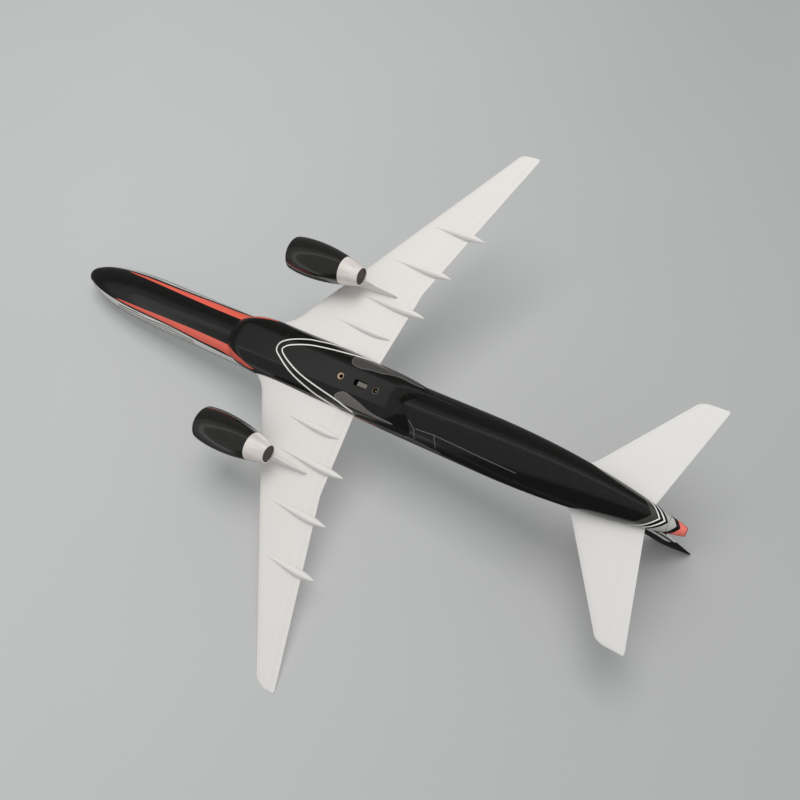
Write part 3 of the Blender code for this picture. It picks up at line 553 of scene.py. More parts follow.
def smoked_plastic():
    """Smoked clear plastic, glossy, with faint flow marks."""
    paint = Paint("smoked_pane", (0.06, 0.065, 0.07))
    paint.lay(paint.range(paint.noise(80.0, 2.0), 0.35, 0.65, 0.0, 0.4), (0.09, 0.0975, 0.105))
    paint.set(Base_Color=paint.tone, Roughness=0.08, Coat_Weight=0.8, Coat_Roughness=0.03)
    paint.bump(paint.noise(500.0, 1.0), 0.04, 0.00004)
    return paint.material


# ---- fuselage

def nose_bulge(s, reach):
    left = 1.0 - clamp(s / reach)
    return np.sqrt(np.maximum(0.0, 1.0 - left * left))


def tail_share(s, start=TAPER_START):
    return clamp((s - start) / (LENGTH - start))


def body_half_width(s):
    tail = HALF_WIDTH + (TAIL_HALF_WIDTH - HALF_WIDTH) * tail_share(s) ** 2.2
    return nose_bulge(s, NOSE_LENGTH) * tail


def body_middle(s):
    nose = (1.0 - clamp(s / NOSE_LENGTH)) ** 2
    return tail_share(s) ** 1.6 * (TAIL_TOP + TAIL_BOTTOM) / 2 - nose * NOSE_DROOP


def body_top(s):
    crown = HALF_HEIGHT + (TAIL_TOP - HALF_HEIGHT) * tail_share(s) ** 2
    return -NOSE_DROOP + (crown + NOSE_DROOP) * nose_bulge(s, NOSE_LENGTH) ** 1.25


def body_bottom(s):
    keel = -HALF_HEIGHT + (TAIL_BOTTOM + HALF_HEIGHT) * tail_share(s, UPSWEEP_START) ** 2.1
    return -NOSE_DROOP + (keel + NOSE_DROOP) * nose_bulge(s, NOSE_LENGTH - 10.0)


def body_half_height(s, above):
    """From the widest line up to the crown, or down to the keel."""
    middle = body_middle(s)
    return np.where(above, body_top(s) - middle, middle - body_bottom(s))


def body_point(s, angle, grow=0.0):
    """A point of the skin: angle 0 is the crown, a quarter turn the port side, a half the keel."""
    up = np.cos(angle)
    half_height = body_half_height(s, up > 0) + grow
    return ring((body_half_width(s) + grow) * np.sin(angle), s,
                body_middle(s) + half_height * up)


def body_angle(x, s, z):
    """The angle round the body of points on it."""
    up = z - body_middle(s)
    across = x / np.maximum(body_half_width(s), 0.1)
    return np.arctan2(across, up / np.maximum(body_half_height(s, up > 0), 0.1))


def body_stations(first, last, step=1.8):
    nose = NOSE_LENGTH * (1 - np.cos(spread(0.0, pi / 2, 52)))
    rest = spread(NOSE_LENGTH, LENGTH, int((LENGTH - NOSE_LENGTH) / step))
    inner = np.r_[nose, rest[1:]]
    inner = inner[(inner > first + 0.3) & (inner < last - 0.5)]
    return np.r_[[first], inner, [last]]


def body_half(name, upper, first, last, grow, seam, around=73, step=1.8):
    """Half the body, above or below its widest line, with its cut face seam off that line."""
    start = -pi / 2 if upper else pi / 2
    angles = spread(start, start + pi, around)
    rings = body_point(body_stations(first, last, step)[:, None], angles[None, :], grow)
    lift = seam if upper else -seam
    rings[:, 0, 2] += lift
    rings[:, -1, 2] += lift
    return loft(name, rings)


def body_solid(name, first, last, grow, around=144, step=1.8):
    angles = turns(around) + 0.01
    return loft(name, body_point(body_stations(first, last, step)[:, None], angles[None, :], grow))


def hollow_shell(name, upper):
    shell = body_half(name, upper, 0.5, CONE_START, 0.0, 0.08)
    room = body_half(name + "_room", upper, 6.0, CONE_START - 3.0, -WALL, -1.0, 37, 5.0)
    carve(shell, room)
    return shell


def band(span, grow, inner=-30.0, outer=30.0):
    """A helper box over a row of windows, from (first station, last, low, high)."""
    first, last, low, high = span
    return slab("band", (inner, first - grow, low - grow), (outer, last + grow, high + grow))


def livery_fields(obj):
    """Distances in millimetres from the lines of the livery."""
    x, s, z = model_points(obj).T
    lower_black = eased((
        (0, -10.4), (14.5, -11.3), (31, -12.1), (54, -12.4), (75, -12.3), (95, -11.9), (123, -9.9),
        (150, -8.5), (200, -8.0), (235, -6.0), (257, -1.8), (280, 1.0), (300, 3.0), (318, 5.5),
        (345, 11.5), (372, 18.5), (395, 26.0), (464, 32.0)))
    nose_black = eased(((0, 9.0), (3.0, -3.0), (7.0, -9.4), (14.5, 0.0)))
    edge = lower_black(s) + np.where(s < 7.0, nose_black(s) + 9.4, 0.0)
    edge += np.where(x > 0, 0.9, 0.0) * clamp((s - 8) / 8) * clamp((230 - s) / 20)
    coral_low = eased(((34, -12.4), (44, -14.3), (55, -15.1), (75, -15.6), (95, -15.9), (124, -16.2),
                       (148, -16.1), (160, -16.0)))
    coral_high = eased(((34, -12.4), (44, -13.4), (55, -13.6), (75, -13.5), (95, -13.0), (123, -11.5),
                        (147, -10.2), (151, -9.4), (160, -8.9)))
    inside = np.minimum(z - coral_low(s), coral_high(s) - z)
    stripe = eased(((250, -4.0), (289, -5.0), (300, -5.2), (320, -3.2)))
    angle = np.abs(body_angle(x, s, z))
    arc = body_half_width(s) * (pi - angle)
    fields(obj, rise=z - edge, coral=np.min([inside, s - 33.5, 170 - s], 0), stripe=z - stripe(s),
           around=np.where(x < 0, angle * 18.0, 0.0),
           tail=s + (0.75 - 0.15 * clamp((s - 450) / 5)) * arc + 0.018 * arc * arc)


def pane_outline(s, low, high, half_length, side):
    """A rounded upright window, as stations and angles round the body."""
    middle = body_middle(s)
    across, up = (np.sign(way) * np.abs(way) ** 0.6 for way in (np.cos(turns(16)), np.sin(turns(16))))
    rise = (low + high) / 2 - middle + (high - low) / 2 * up
    share = clamp(rise / (body_top(s) - middle), -1, 1)
    return half_length * across, side * np.arccos(share)


def cabin_windows(side, label, surface):
    """A row of small rounded panes, each a separate tile set in the window strip."""
    first, last, low, high = WINDOWS
    panes = []
    for station in spread(first + 4.0, last - 4.0, 64):
        across, angles = pane_outline(station, low + 0.5, high - 0.45, 0.95, side)
        rings = [body_point(station + inset * across, angles, grow)
                 for grow, inset in ((0.10, 0.88), (0.04, 1.0), (-0.5, 1.0))]
        panes.append(loft("pane", rings))
    finish(join(panes, "cabin_windows_" + label), surface)


def build_fuselage():
    paint = body_paint()
    glass = smoked_plastic()
    band_paint = enamel(Paint("window_band_silver", SILVER), 0.22)
    upper = hollow_shell("body_skin_upper", True)
    lower = hollow_shell("body_skin_lower", False)
    reach = {1: (6.0, 26.0), -1: (-26.0, -6.0)}
    for side, label in SIDES:
        strip = placed("window_band_" + label, upper.data.copy())
        carve(strip, band(WINDOWS, 0.0, *reach[side]), "INTERSECT")
        carve(upper, band(WINDOWS, 0.1, *reach[side]))
        finish(strip, band_paint, "window_strip_" + label)
        cabin_windows(side, label, glass)
    shield = placed("windshield_glass", upper.data.copy())
    carve(shield, band(WINDSHIELD, 0.0), "INTERSECT")
    posts = body_half("windshield_posts", True, 0.5, 40.0, 0.09, 0.08)
    carve(posts, body_half("posts_room", True, 3.0, 42.0, -0.8, -1.0, 37))
    carve(posts, band(WINDSHIELD, 0.0), "INTERSECT")
    bars = []
    pivot = Matrix.Translation((0, (NOSE_Y + 33.0) * MM, 0))
    for turn in (0, 24, -24, 48, -48, 68, -68):
        bar = slab("post_bar", (-0.28, -17.0, 4.0), (0.28, 28.0, 10.5))
        bar.data.transform(pivot @ Matrix.Rotation(radians(turn), 4, "Z") @ pivot.inverted())
        bars.append(bar)
    carve(posts, join(bars, "post_bars"), "INTERSECT")
    finish(shield, glass, "windshield")
    finish(posts, band_paint)
    carve(upper, band(WINDSHIELD, 0.1))
    hatch = slab("hatch", (-6.0, STAND_STATION - 6.0, -25.0), (6.0, JACK_STATION + 6.0, -14.2))
    carve(lower, hatch)
    for shell, node in ((upper, "fuselage_upper"), (lower, "fuselage_lower")):
        livery_fields(shell)
        finish(shell, paint, node)
    cone = body_solid("tail_cone_skin", CONE_START + 0.05, LENGTH, 0.0)
    bore = turned("cone_bore", ((CONE_BORE_RADIUS, LENGTH - 6.0), (CONE_BORE_RADIUS, LENGTH + 6.0)),
                  (0.0, (TAIL_TOP + TAIL_BOTTOM) / 2), 48)
    rounded(cone, 0.5, 3, 50)
    carve(cone, bore)
    livery_fields(cone)
    finish(cone, paint, "tail_cone")


def join(objects, name):
    """One mesh holding copies of several, which are removed."""
    bm = bmesh.new()
    for obj in objects:
        bm.from_mesh(obj.data)
        bpy.data.objects.remove(obj)
    mesh = bpy.data.meshes.new(name)
    bm.to_mesh(mesh)
    bm.free()
    return placed(name, mesh)


# ---- belly fairing

def swell(s, end, ramp):
    up = np.sin(clamp((s - FAIRING_START) / ramp) * pi / 2)
    down = np.sin(clamp((end - s) / ramp) * pi / 2)
    return np.maximum(up * down, 0.0) ** 0.8


def squared(value):
    return np.sign(value) * np.abs(value) ** (2 / FAIRING_SQUARENESS)


def fairing_point(s, angle, grow):
    s, angle = np.broadcast_arrays(np.asarray(s, float), np.asarray(angle, float))
    across, up = np.sin(angle), np.cos(angle)
    half_width = FAIRING_HALF_WIDTH - 1.6 * clamp((s - 225) / 50)
    reach = np.where(up > 0, 10.0, PAD_DEPTH + 0.6 + FAIRING_WIDEST)
    height = FAIRING_WIDEST + squared(up) * (reach + grow)
    full = ring((half_width + grow) * squared(across), s, np.maximum(height, -PAD_DEPTH - grow))
    buried = body_point(s, angle, grow - 3.0)
    end = PAD_END + (FAIRING_END - PAD_END) * np.abs(across)
    ramp = FAIRING_RAMP + (FAIRING_SIDE_RAMP - FAIRING_RAMP) * across * across
    share = swell(s, end, ramp)[..., None]
    return buried * (1 - share) + full * share


def fairing_solid(name, grow, around=180, step=1.0):
    angles = turns(around)
    stations = spread(FAIRING_START, FAIRING_END, int((FAIRING_END - FAIRING_START) / step) + 1)
    return loft(name, fairing_point(stations[:, None], angles[None, :], grow))


def curve_through(points, closed=False, per=8):
    """A smooth line through flat points, as many short steps."""
    points = np.array(points, float)
    count = len(points)
    out = []
    for i in range(count if closed else count - 1):
        near = np.arange(i - 1, i + 3)
        p = points[near % count if closed else near.clip(0, count - 1)]
        for t in spread(0, 1, per + 1)[:-1]:
            out.append(0.5 * (2 * p[1] + (p[2] - p[0]) * t
                              + (2 * p[0] - 5 * p[1] + 4 * p[2] - p[3]) * t * t
                              + (3 * p[1] - p[0] - 3 * p[2] + p[3]) * t ** 3))
    out.append(points[0] if closed else points[-1])
    return np.array(out)


def line_distance(flat, line):
    """Distance of flat points from a line, positive on its left."""
    best = np.full(len(flat), 1e9)
    sign = np.ones(len(flat))
    for a, b in zip(line, line[1:]):
        step = b - a
        size = step @ step
        if size < 1e-9:
            continue
        share = clamp(((flat - a) @ step) / size)
        away = flat - a - share[:, None] * step
        gap = np.hypot(away[:, 0], away[:, 1])
        closer = gap < best - 1e-9
        best = np.where(closer, gap, best)
        turn = step[0] * (flat[:, 1] - a[1]) - step[1] * (flat[:, 0] - a[0])
        sign = np.where(closer, np.where(turn >= 0, 1.0, -1.0), sign)
    return best * sign


def inside_distance(flat, outline):
    """Distance of flat points from a closed line, positive inside it."""
    gap = np.abs(line_distance(flat, outline))
    inside = np.zeros(len(flat), bool)
    for (x0, y0), (x1, y1) in zip(outline, outline[1:]):
        crosses = (y0 > flat[:, 1]) != (y1 > flat[:, 1])
        at = x0 + (flat[:, 1] - y0) * (x1 - x0) / (y1 - y0 if y1 != y0 else 1e-9)
        inside ^= crosses & (flat[:, 0] < at)
    return np.where(inside, gap, -gap)


# Plan views of the paint under the fairing: (distance to port, station)
BOW_OUTER = (
    (22, 262), (20.5, 245), (18.5, 228), (15.8, 215), (14.3, 208.2), (10.8, 199.4), (7, 192.8), (3.6, 189.9),
    (-0.8, 190.3), (-4.4, 195.4), (-9.1, 204), (-12.3, 212), (-14.8, 220.9), (-16.7, 229.3), (-17.7, 237),
    (-19, 248), (-21, 262))
BOW_INNER = (
    (19, 262), (17.2, 249), (15.5, 237.5), (13.3, 223.6), (10.7, 211), (6.2, 199.1), (3.3, 195), (0.5, 194.1),
    (-3.4, 199.8), (-7.7, 209.8), (-10.4, 219.3), (-12.8, 232.3), (-14.7, 244.5), (-17.1, 256.2), (-19, 268))
PANEL_PORT = (
    (11.3, 243.9), (9.7, 246.6), (9.3, 252.2), (10.7, 258.9), (11.4, 265.9), (12.8, 271.6), (13.7, 276.8),
    (13.8, 281.7), (13.5, 287.2), (14.4, 293.1), (16, 293), (17.4, 280), (18, 262), (17.7, 248), (15.4, 243.6))
PANEL_STARBOARD = (
    (-11.9, 243.7), (-9.1, 247.1), (-8.4, 250.6), (-9.5, 255.7), (-11.1, 262.5), (-13, 269.1), (-14, 276.8),
    (-14, 285.1), (-14.6, 286.4), (-15.1, 278), (-15.1, 249), (-14.4, 244.6))


def fairing_fields(obj):
    livery_fields(obj)
    x, s, z = model_points(obj).T
    flat = np.stack([x, s], -1)
    inner = eased(((140, 8.4), (147.7, 9.6), (153.8, 11.2), (160.6, 13.7), (165.9, 15.2), (170.6, 16.5),
                   (175.1, 17.5), (179.3, 18.1), (184, 18.6)))
    upper = eased(((140, -9.9), (147, -10.2), (151, -9.6), (157, -12.7), (164.7, -15.3), (171.8, -15.9),
                   (179.3, -17.3), (184, -18.2)))
    panels = [inside_distance(flat, curve_through(edge, True)) for edge in (PANEL_PORT, PANEL_STARBOARD)]
    fields(obj, coral=np.min([np.abs(x) - inner(s), upper(s) - z, 182 - s], 0),
           under=np.minimum(-12.0 - z, 258.0 - s), panel=np.where(z < -13.0, np.maximum(*panels), -9.0),
           bow_outer=line_distance(flat, curve_through(BOW_OUTER)),
           bow_inner=line_distance(flat, curve_through(BOW_INNER)))


def rounded_slot(width, length, low, high, station):
    """A helper prism with rounded corners, on the centreline."""
    radius = width * 0.3
    outline = []
    for quarter, (side_x, side_y) in enumerate(((1, 1), (-1, 1), (-1, -1), (1, -1))):
        for a in pi / 2 * (quarter + spread(0, 1, 7)):
            outline.append((side_x * (width / 2 - radius) + radius * cos(a),
                            station + side_y * (length / 2 - radius) + radius * sin(a)))
    return loft("slot", [[(*point, z) for point in outline] for z in (low, high)])


def build_fairing():
    skin = fairing_solid("fairing_skin", 0.0)
    carve(skin, body_solid("body_room", 0.5, LENGTH, 0.1))
    pad = -PAD_DEPTH
    carve(skin, post(5.0, pad + 1.0, -11.0, STAND_STATION, 60), "UNION")
    carve(skin, post(2.3, pad - 1.0, -12.0, STAND_STATION))
    carve(skin, rounded_slot(SLOT_WIDTH, SLOT_LENGTH, pad - 4.0, pad + 4.0, SWITCH_STATION))
    carve(skin, post(2.5, pad - 1.0, pad + 7.0, JACK_STATION))
    fairing_fields(skin)
    finish(skin, fairing_paint(), "belly_fairing")


def build_fittings():
    """The brass stand insert, the lever in its slot and the charging jack."""
    brass = metal("brass", (0.95, 0.70, 0.46), 0.24, "Z", 0.35)
    nickel = metal("nickel", (0.74, 0.73, 0.72), 0.2, "Z")
    pad = -PAD_DEPTH
    face = pad + 0.2
    profile = [(1.95, face), (1.40, face + 0.7)]
    for height in face + 0.85 + 0.5 * np.arange(16):
        profile += [(1.25, height), (1.48, height + 0.25)]
    profile += [(1.25, face + 9.0), (2.2, face + 9.0), (2.2, face + 0.15), (2.08, face)]
    insert = turned("insert_ring", profile, (0.0, STAND_STATION), 64, True, True)
    # Painted shade in the bore: it starts half a millimetre past the mouth and is full 0.6 mm further in
    fields(insert, depth=clamp((model_points(insert)[:, 2] - face - 0.5) / 0.6))
    finish(insert, brass, "stand_insert")
    rim = pad + 0.1
    shell = [(2.02, rim + 0.02), (1.75, rim + 0.4), (1.6, rim + 9.8), (0.9, rim + 10.0), (0.9, rim + 10.9),
             (2.4, rim + 10.9), (2.4, rim + 0.35), (2.32, rim + 0.1), (2.15, rim), (1.98, rim - 0.02)]
    barrel = turned("jack_shell", shell, (0.0, JACK_STATION), 64, True, True)
    finish(barrel, nickel, "jack_barrel")
    rest = SWITCH_STATION + LEVER_REST
    bottom, top = pad + 0.7, pad + 4.7
    profile = [(rest - 3.5, top), (rest - 3.5, bottom + 0.3), (rest - 3.2, bottom)]
    for middle in rest + np.arange(-2, 3):
        profile += [(middle - 0.25, bottom), (middle - 0.08, bottom + 0.38),
                    (middle + 0.08, bottom + 0.38), (middle + 0.25, bottom)]
    profile += [(rest + 3.2, bottom), (rest + 3.5, bottom + 0.3), (rest + 3.5, top)]
    lever = loft("lever_knob", [[(x, *point) for point in profile] for x in (-1.5, 1.5)])
    rounded(lever, 0.08, 2, 30)
    finish(lever, plastic("lever_plastic", (0.20, 0.185, 0.17)), "switch_lever", "switch_lever")


# ---- flying surfaces

def thickness_at(c):
    return 5 * (0.2969 * np.sqrt(c) - 0.126 * c - 0.3516 * c ** 2 + 0.2843 * c ** 3 - 0.1015 * c ** 4)


def section(lead, trail, thickness, top_share=1.2, count=41):
    """Stations and offsets of a closed aerofoil, from the trailing edge over the top and back."""
    c = (1 - np.cos(spread(0.0, pi, count))) / 2
    blunt = 0.22
    top = top_share * thickness * thickness_at(c) + blunt * c
    under = (top_share - 2) * thickness * thickness_at(c) - blunt * c
    shares = np.r_[c[::-1], c[1:]]
    return lead + shares * (trail - lead), np.r_[top[::-1], under[1:]]


def tip_fade(distance, tip, rounding):
    past = clamp((distance - tip + rounding) / rounding)
    return np.sqrt(np.maximum(0.0, 1.0 - past * past))


def toward_tip(first, last, rounding, count, near=8):
    """Places from first to last, closer together round the tip."""
    easy = spread(first, last - rounding, count)[:-1]
    return np.r_[easy, last - rounding * (1 - np.sin(spread(0.0, pi / 2, near)))]


def wing_edges(out):
    glove = 0.07 * np.maximum(0.0, 28.0 - out) ** 2
    lead = 173.3 + 0.53 * out - glove
    trail = 257.2 + 0.04 * np.minimum(out, WING_KINK) + 0.236 * np.maximum(0.0, out - WING_KINK)
    return lead, trail


def wing_height(out):
    return -14.3 + 0.087 * out


def wing_solid(name, side, grow=0.0, count=70):
    rings = []
    for out in toward_tip(12.0, SEMI_SPAN, WING_ROUNDING, count):
        lead, trail = wing_edges(out)
        fade = tip_fade(out, SEMI_SPAN, WING_ROUNDING)
        share = out / SEMI_SPAN
        depth = (0.115 * (1 - share) + 0.095 * share) * (trail - lead) * (0.3 + 0.7 * fade) + 2.5 * grow
        stations, offsets = section(lead + 3.5 * (1 - fade) - grow, trail - 1.5 * (1 - fade) + grow, depth)
        rings.append(ring(side * out, stations, wing_height(out) + offsets))
    return loft(name, rings)


def surface_fields(obj, edges):
    """Distances from both edges and along the span, for the panel lines."""
    x, s, z = model_points(obj).T
    lead, trail = edges(np.abs(x))
    fields(obj, aft=trail - s, ahead=s - lead, out=np.abs(x))


def build_wing(side, label, paint, body, fairing):
    skin = wing_solid("wing_skin_" + label, side)
    carve(skin, body, keep=True)
    carve(skin, fairing, keep=True)
    inner, outer = sorted((side * 9.5, side * 22.5))
    middle = float(wing_height(9.5))
    carve(skin, slab("tongue", (inner, 197.0, middle - 1.3), (outer, 219.0, middle + 1.3)), "UNION")
    surface_fields(skin, wing_edges)
    finish(skin, paint, "wing_" + label)
    across, up = TRACK_HALF_WIDTH * np.cos(turns(40)), np.sin(turns(40))
    up = np.where(up > 0, TRACK_RISE, TRACK_DEPTH) * up
    for number, (out, front, back) in enumerate(TRACK_FAIRINGS, 1):
        lead, trail = wing_edges(out)
        drop = 0.8 * 0.115 * (trail - lead) * thickness_at((front - lead) / (trail - lead))
        rings = []
        for t in (1 - np.cos(spread(0.1, pi - 0.1, 40))) / 2:
            height = wing_height(out) - drop * (1 - t) - 0.7 * t
            girth = sin(pi * t ** 1.8) ** 0.7
            rings.append(ring(side * out + girth * across, front + t * (back - front), height + girth * up))
        pod = loft("flap_fairing_%s_%d" % (label, number), rings)
        surface_fields(pod, wing_edges)
        finish(pod, bpy.data.materials["moulded_white"])


def tailplane_edges(out):
    lead = 390.6 + 0.686 * out - 0.05 * np.maximum(0.0, 20.0 - out) ** 2
    return lead, 441.5 + 0.24 * out


def build_tailplane(side, label, paint, body):
    rings = []
    for out in toward_tip(4.0, TAILPLANE_SEMI_SPAN, TAIL_ROUNDING, 44):
        lead, trail = tailplane_edges(out)
        fade = tip_fade(out, TAILPLANE_SEMI_SPAN, TAIL_ROUNDING)
        lead, trail = lead + 6 * (1 - fade), trail - (1 - fade)
        stations, offsets = section(lead, trail, 0.09 * (trail - lead) * (0.3 + 0.7 * fade))
        rings.append(ring(side * out, stations, 7.0 + 0.12 * out + offsets))
    skin = loft("tailplane_skin_" + label, rings)
    carve(skin, body, keep=True)
    surface_fields(skin, tailplane_edges)
    finish(skin, paint, "tailplane_" + label)


def build_fin(body):
    rings = []
    for height in toward_tip(10.0, FIN_TIP, TAIL_ROUNDING, 60):
        above = height - FIN_ROOT
        fade = tip_fade(height, FIN_TIP, TAIL_ROUNDING)
        dorsal = 16 * clamp(1 - above / 12) ** 2
        lead = 386 + 0.80 * above - dorsal + 4 * (1 - fade)
        trail = 441 + 0.347 * above - (1 - fade)
        depth = 0.12 * (trail - lead - dorsal) * (0.3 + 0.7 * fade)
        stations, offsets = section(lead, trail, depth, 1.0)
        rings.append(ring(offsets, stations, height))
    skin = loft("fin_skin", rings)
    carve(skin, body, keep=True)
    x, s, z = model_points(skin).T
    flat = np.stack([s, z], -1)
    curl = np.full(len(s), -9.0)
    for line, half in FIN_CURLS:
        curl = np.maximum(curl, half - np.abs(line_distance(flat, curve_through(line))))
    fields(skin, curl=curl, edge=clamp((z - 78) / 0.4))
    finish(skin, fin_paint(), "fin")


# Nested curls on the fin: (station, height) points and half the width of the stroke
FIN_CURLS = (
    (((402, 24), (416, 33), (431, 40), (444, 52), (452, 66)), 2.1),
    (((414, 24), (428, 30), (441, 38), (451, 50), (457, 62)), 1.6),
    (((428, 24), (440, 29), (449, 37), (457, 48)), 1.2),
    (((441, 24), (449, 29), (456, 37)), 0.8),
)


# ---- engines

def cowl_radius(s):
    if s < COWL_WIDEST:
        return COWL_RADIUS - 1.5 * ((COWL_WIDEST - s) / (COWL_WIDEST - ENGINE_FRONT)) ** 2.6
    return COWL_RADIUS - 3.0 * ((s - COWL_WIDEST) / (COWL_END - COWL_WIDEST)) ** 1.9


def nozzle_radius(s):
    share = (s - COWL_END) / (NOZZLE_END - COWL_END)
    return 9.4 - 3.2 * share + 0.25 * sin(pi * share)


def build_pylon(side, label, paint):
    levels, fronts, backs = np.array((
        (-22.0, 182, 226), (-17.5, 181, 233), (-13.5, 187, 244), (-10.5, 196, 246), (-8.8, 202, 246))).T
    front, back = eased(tuple(zip(levels, fronts))), eased(tuple(zip(levels, backs)))
    c = (1 - np.cos(spread(0.0, pi, 41))) / 2
    rings = []
    for z in spread(-22.0, -8.8, 28):
        f, b = front(z), back(z)
        middle = f + (b - f) * 0.45
        s = f + (b - f) * c
        ahead = s < middle
        away = np.abs(s - middle) / np.where(ahead, middle - f, b - middle)
        half = 2.6 * np.where(ahead, np.sqrt(np.maximum(0, 1 - away ** 2)), 1 - away ** 1.7) + 0.15
        xs = side * ENGINE_OUT + np.r_[half, -half[::-1]]
        rings.append(ring(xs, np.r_[s, s[::-1]], z))
    skin = loft("pylon_skin_" + label, rings)
    outer = [(cowl_radius(s) + 0.1, s) for s in spread(ENGINE_FRONT, COWL_END, 30)]
    outer += [(nozzle_radius(s) + 0.1, s) for s in spread(COWL_END + 0.3, NOZZLE_END + 2, 12)]
    carve(skin, turned("envelope", outer, (side * ENGINE_OUT, ENGINE_HEIGHT)))
    carve(skin, wing_solid("wing_room", side, 0.1, 50))
    finish(skin, paint, "pylon_" + label)


def fan_rotor(side, label, centre):
    """Twisted blades, a hub and a spinner, in one piece."""
    hub = ((0.0, -5.6), (0.7, -5.3), (1.5, -4.3), (2.3, -3.0), (2.9, -1.5), (3.1, 0.0), (3.1, 1.3), (2.9, 1.5),
           (0.0, 1.5))
    parts = [turned("hub", [(r, FAN_STATION + s) for r, s in hub], centre, 48)]
    along, lift = np.cos(turns(14)), np.sin(turns(14))
    lift = (0.17 + 0.18 * lift) * lift
    for base in turns(FAN_BLADES):
        rings = []
        for r in spread(2.8, FAN_RADIUS, 12):
            share = (r - 2.8) / (FAN_RADIUS - 2.8)
            stagger = radians(28 + 30 * share)
            chord = along * (0.95 + 0.6 * sin(pi * (0.15 + 0.6 * share)))
            back = clamp(chord * cos(stagger) - lift * sin(stagger), -1.45, 1.45)
            angle = base + side * (chord * sin(stagger) + lift * cos(stagger)) / r
            rings.append(ring(centre[0] + r * np.cos(angle), FAN_STATION + back, centre[1] + r * np.sin(angle)))
        parts.append(loft("blade", rings))
    rotor = join(parts, "fan_rotor_" + label)
    finish(rotor, bpy.data.materials["fan_metal"], "fan_" + label, "fan_" + label)


def build_engine(side, label, cowl_paint, lip_metal, nozzle_metal, plug_paint, white):
    centre = (side * ENGINE_OUT, ENGINE_HEIGHT)
    step = ENGINE_FRONT + 2.6
    profile = [(cowl_radius(s), s) for s in spread(COWL_END, ENGINE_FRONT + 0.9, 60)]
    profile += [(COWL_MOUTH + 0.25, ENGINE_FRONT + 0.4), (COWL_MOUTH, ENGINE_FRONT + 0.6), (COWL_MOUTH, step),
                (THROAT_RADIUS, step), (THROAT_RADIUS, 186.0), (8.7, COWL_END)]
    cowl = turned("cowl_skin_" + label, profile, centre, wrap=True)
    finish(cowl, cowl_paint, "engine_cowl_" + label)
    outer = COWL_MOUTH - 0.08
    middle = (outer + THROAT_RADIUS) / 2
    profile = [(outer, step - 0.1), (outer, ENGINE_FRONT + 0.7)]
    profile += [(middle + (outer - middle) * cos(a), ENGINE_FRONT + 0.7 - 0.6 * sin(a))
                for a in spread(0, pi, 13)]
    profile.append((THROAT_RADIUS, step - 0.1))
    lip = turned("lip_ring_" + label, profile, centre, wrap=True)
    finish(lip, lip_metal, "intake_lip_" + label)
    stations = spread(NOZZLE_END, COWL_END + 0.12, 24)
    profile = [(nozzle_radius(s), s) for s in stations]
    profile[0] = (profile[0][0] - 0.12, NOZZLE_END)
    profile += [(nozzle_radius(s) - NOZZLE_WALL, s) for s in stations[::-1]]
    nozzle = turned("nozzle_skin_" + label, profile, centre, wrap=True)
    finish(nozzle, nozzle_metal, "exhaust_nozzle_" + label)
    face = NOZZLE_END - PLUG_RECESS
    edge = nozzle_radius(face) - NOZZLE_WALL - 0.1
    profile = ((0.0, 2.0), (edge, 2.0), (edge, 0.5), (edge * 0.9, 0.3), (edge * 0.6, 0.14), (edge * 0.3, 0.03),
               (0.0, 0.0))
    plug = turned("plug_disc_" + label, [(r, face - depth) for r, depth in profile], centre)
    finish(plug, plug_paint, "exhaust_plug_" + label)
    fan_rotor(side, label, centre)
    build_pylon(side, label, white)


# ---- pieces carried over from the frame

def dress_carried_over():
    """Procedural finishes for the frame's own pieces that stay in view."""
    steel = metal("pin_steel", (0.70, 0.70, 0.71), 0.22)
    core = metal("core_alloy", (0.50, 0.49, 0.48), 0.34)
    dark = plastic("wire_sleeve_black", (0.018, 0.018, 0.018), 0.42, 900.0)
    lamp = plastic("lamp_resin", (0.86, 0.84, 0.66), 0.26, 300.0)
    finishes = {
        "battery": plastic("cell_wrap", (0.035, 0.10, 0.38), 0.3, 260.0),
        "battery_wire": plastic("wire_sleeve_red", (0.52, 0.028, 0.02), 0.4, 900.0),
        "jack_pin": metal("contact_brass", (0.80, 0.56, 0.28), 0.26, "Z"),
        "light_board": plastic("circuit_board", (0.025, 0.17, 0.07), 0.34, 400.0),
        "switch_body": plastic("switch_plastic", (0.015, 0.015, 0.016), 0.5),
        "jack_wire": dark, "light_wire": dark,
    }
    finishes.update(("lamp_%d" % number, lamp) for number in range(1, 5))
    for side, label in SIDES:
        finishes.update({"engine_core_" + label: core, "fan_pin_" + label: steel})
    for node, surface in finishes.items():
        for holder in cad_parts[node].material_slots:
            holder.material = surface


# ---- stage, camera and light

# The view from below: camera place in model metres, its aim and its right-hand side
CAMERA_PLACE = Vector((-0.0711, 0.4952, -0.4803))
CAMERA_AIM = Vector((0.14107879, -0.41139722, 0.9004716))
CAMERA_RIGHT = Vector((0.4461385, 0.83839413, 0.3131385))
CAMERA_LENS = 37.62

# The table seen beyond the upturned model: its height over the nose tip and the way it faces
TABLE_HEIGHT = 0.0097
TABLE_NORMAL = (0.3006, 0.1763, -1.0)

# How the sheets darken towards the picture's right: where it starts and ends, in metres, and by how much
SHADE_LEFT = -0.20
SHADE_RIGHT = 0.36
SHADE_DEPTH = 0.20
SHEET_HALF = 4.0

# Room brightness, then the reflected room: its brightness from one side of the long window to the other,
# and the dark wall, with the place of its soft edge and the share of light it leaves
ROOM_LIGHT = (0.60, 0.60, 0.60)
WINDOW_SIDE = (0.512, -0.617, 0.599)
WINDOW_RAMP = ((0.0, 0.22), (1.0, 0.10), (0.385, 0.22), (0.405, 0.55), (0.440, 0.55), (0.460, 0.26),
               (0.55, 0.20), (0.60, 0.07), (0.90, 0.08))
WALL_SIDE = (0.432, -0.864, -0.259)
WALL_EDGE = (-0.16, -0.10)
WALL_SHARE = 0.22


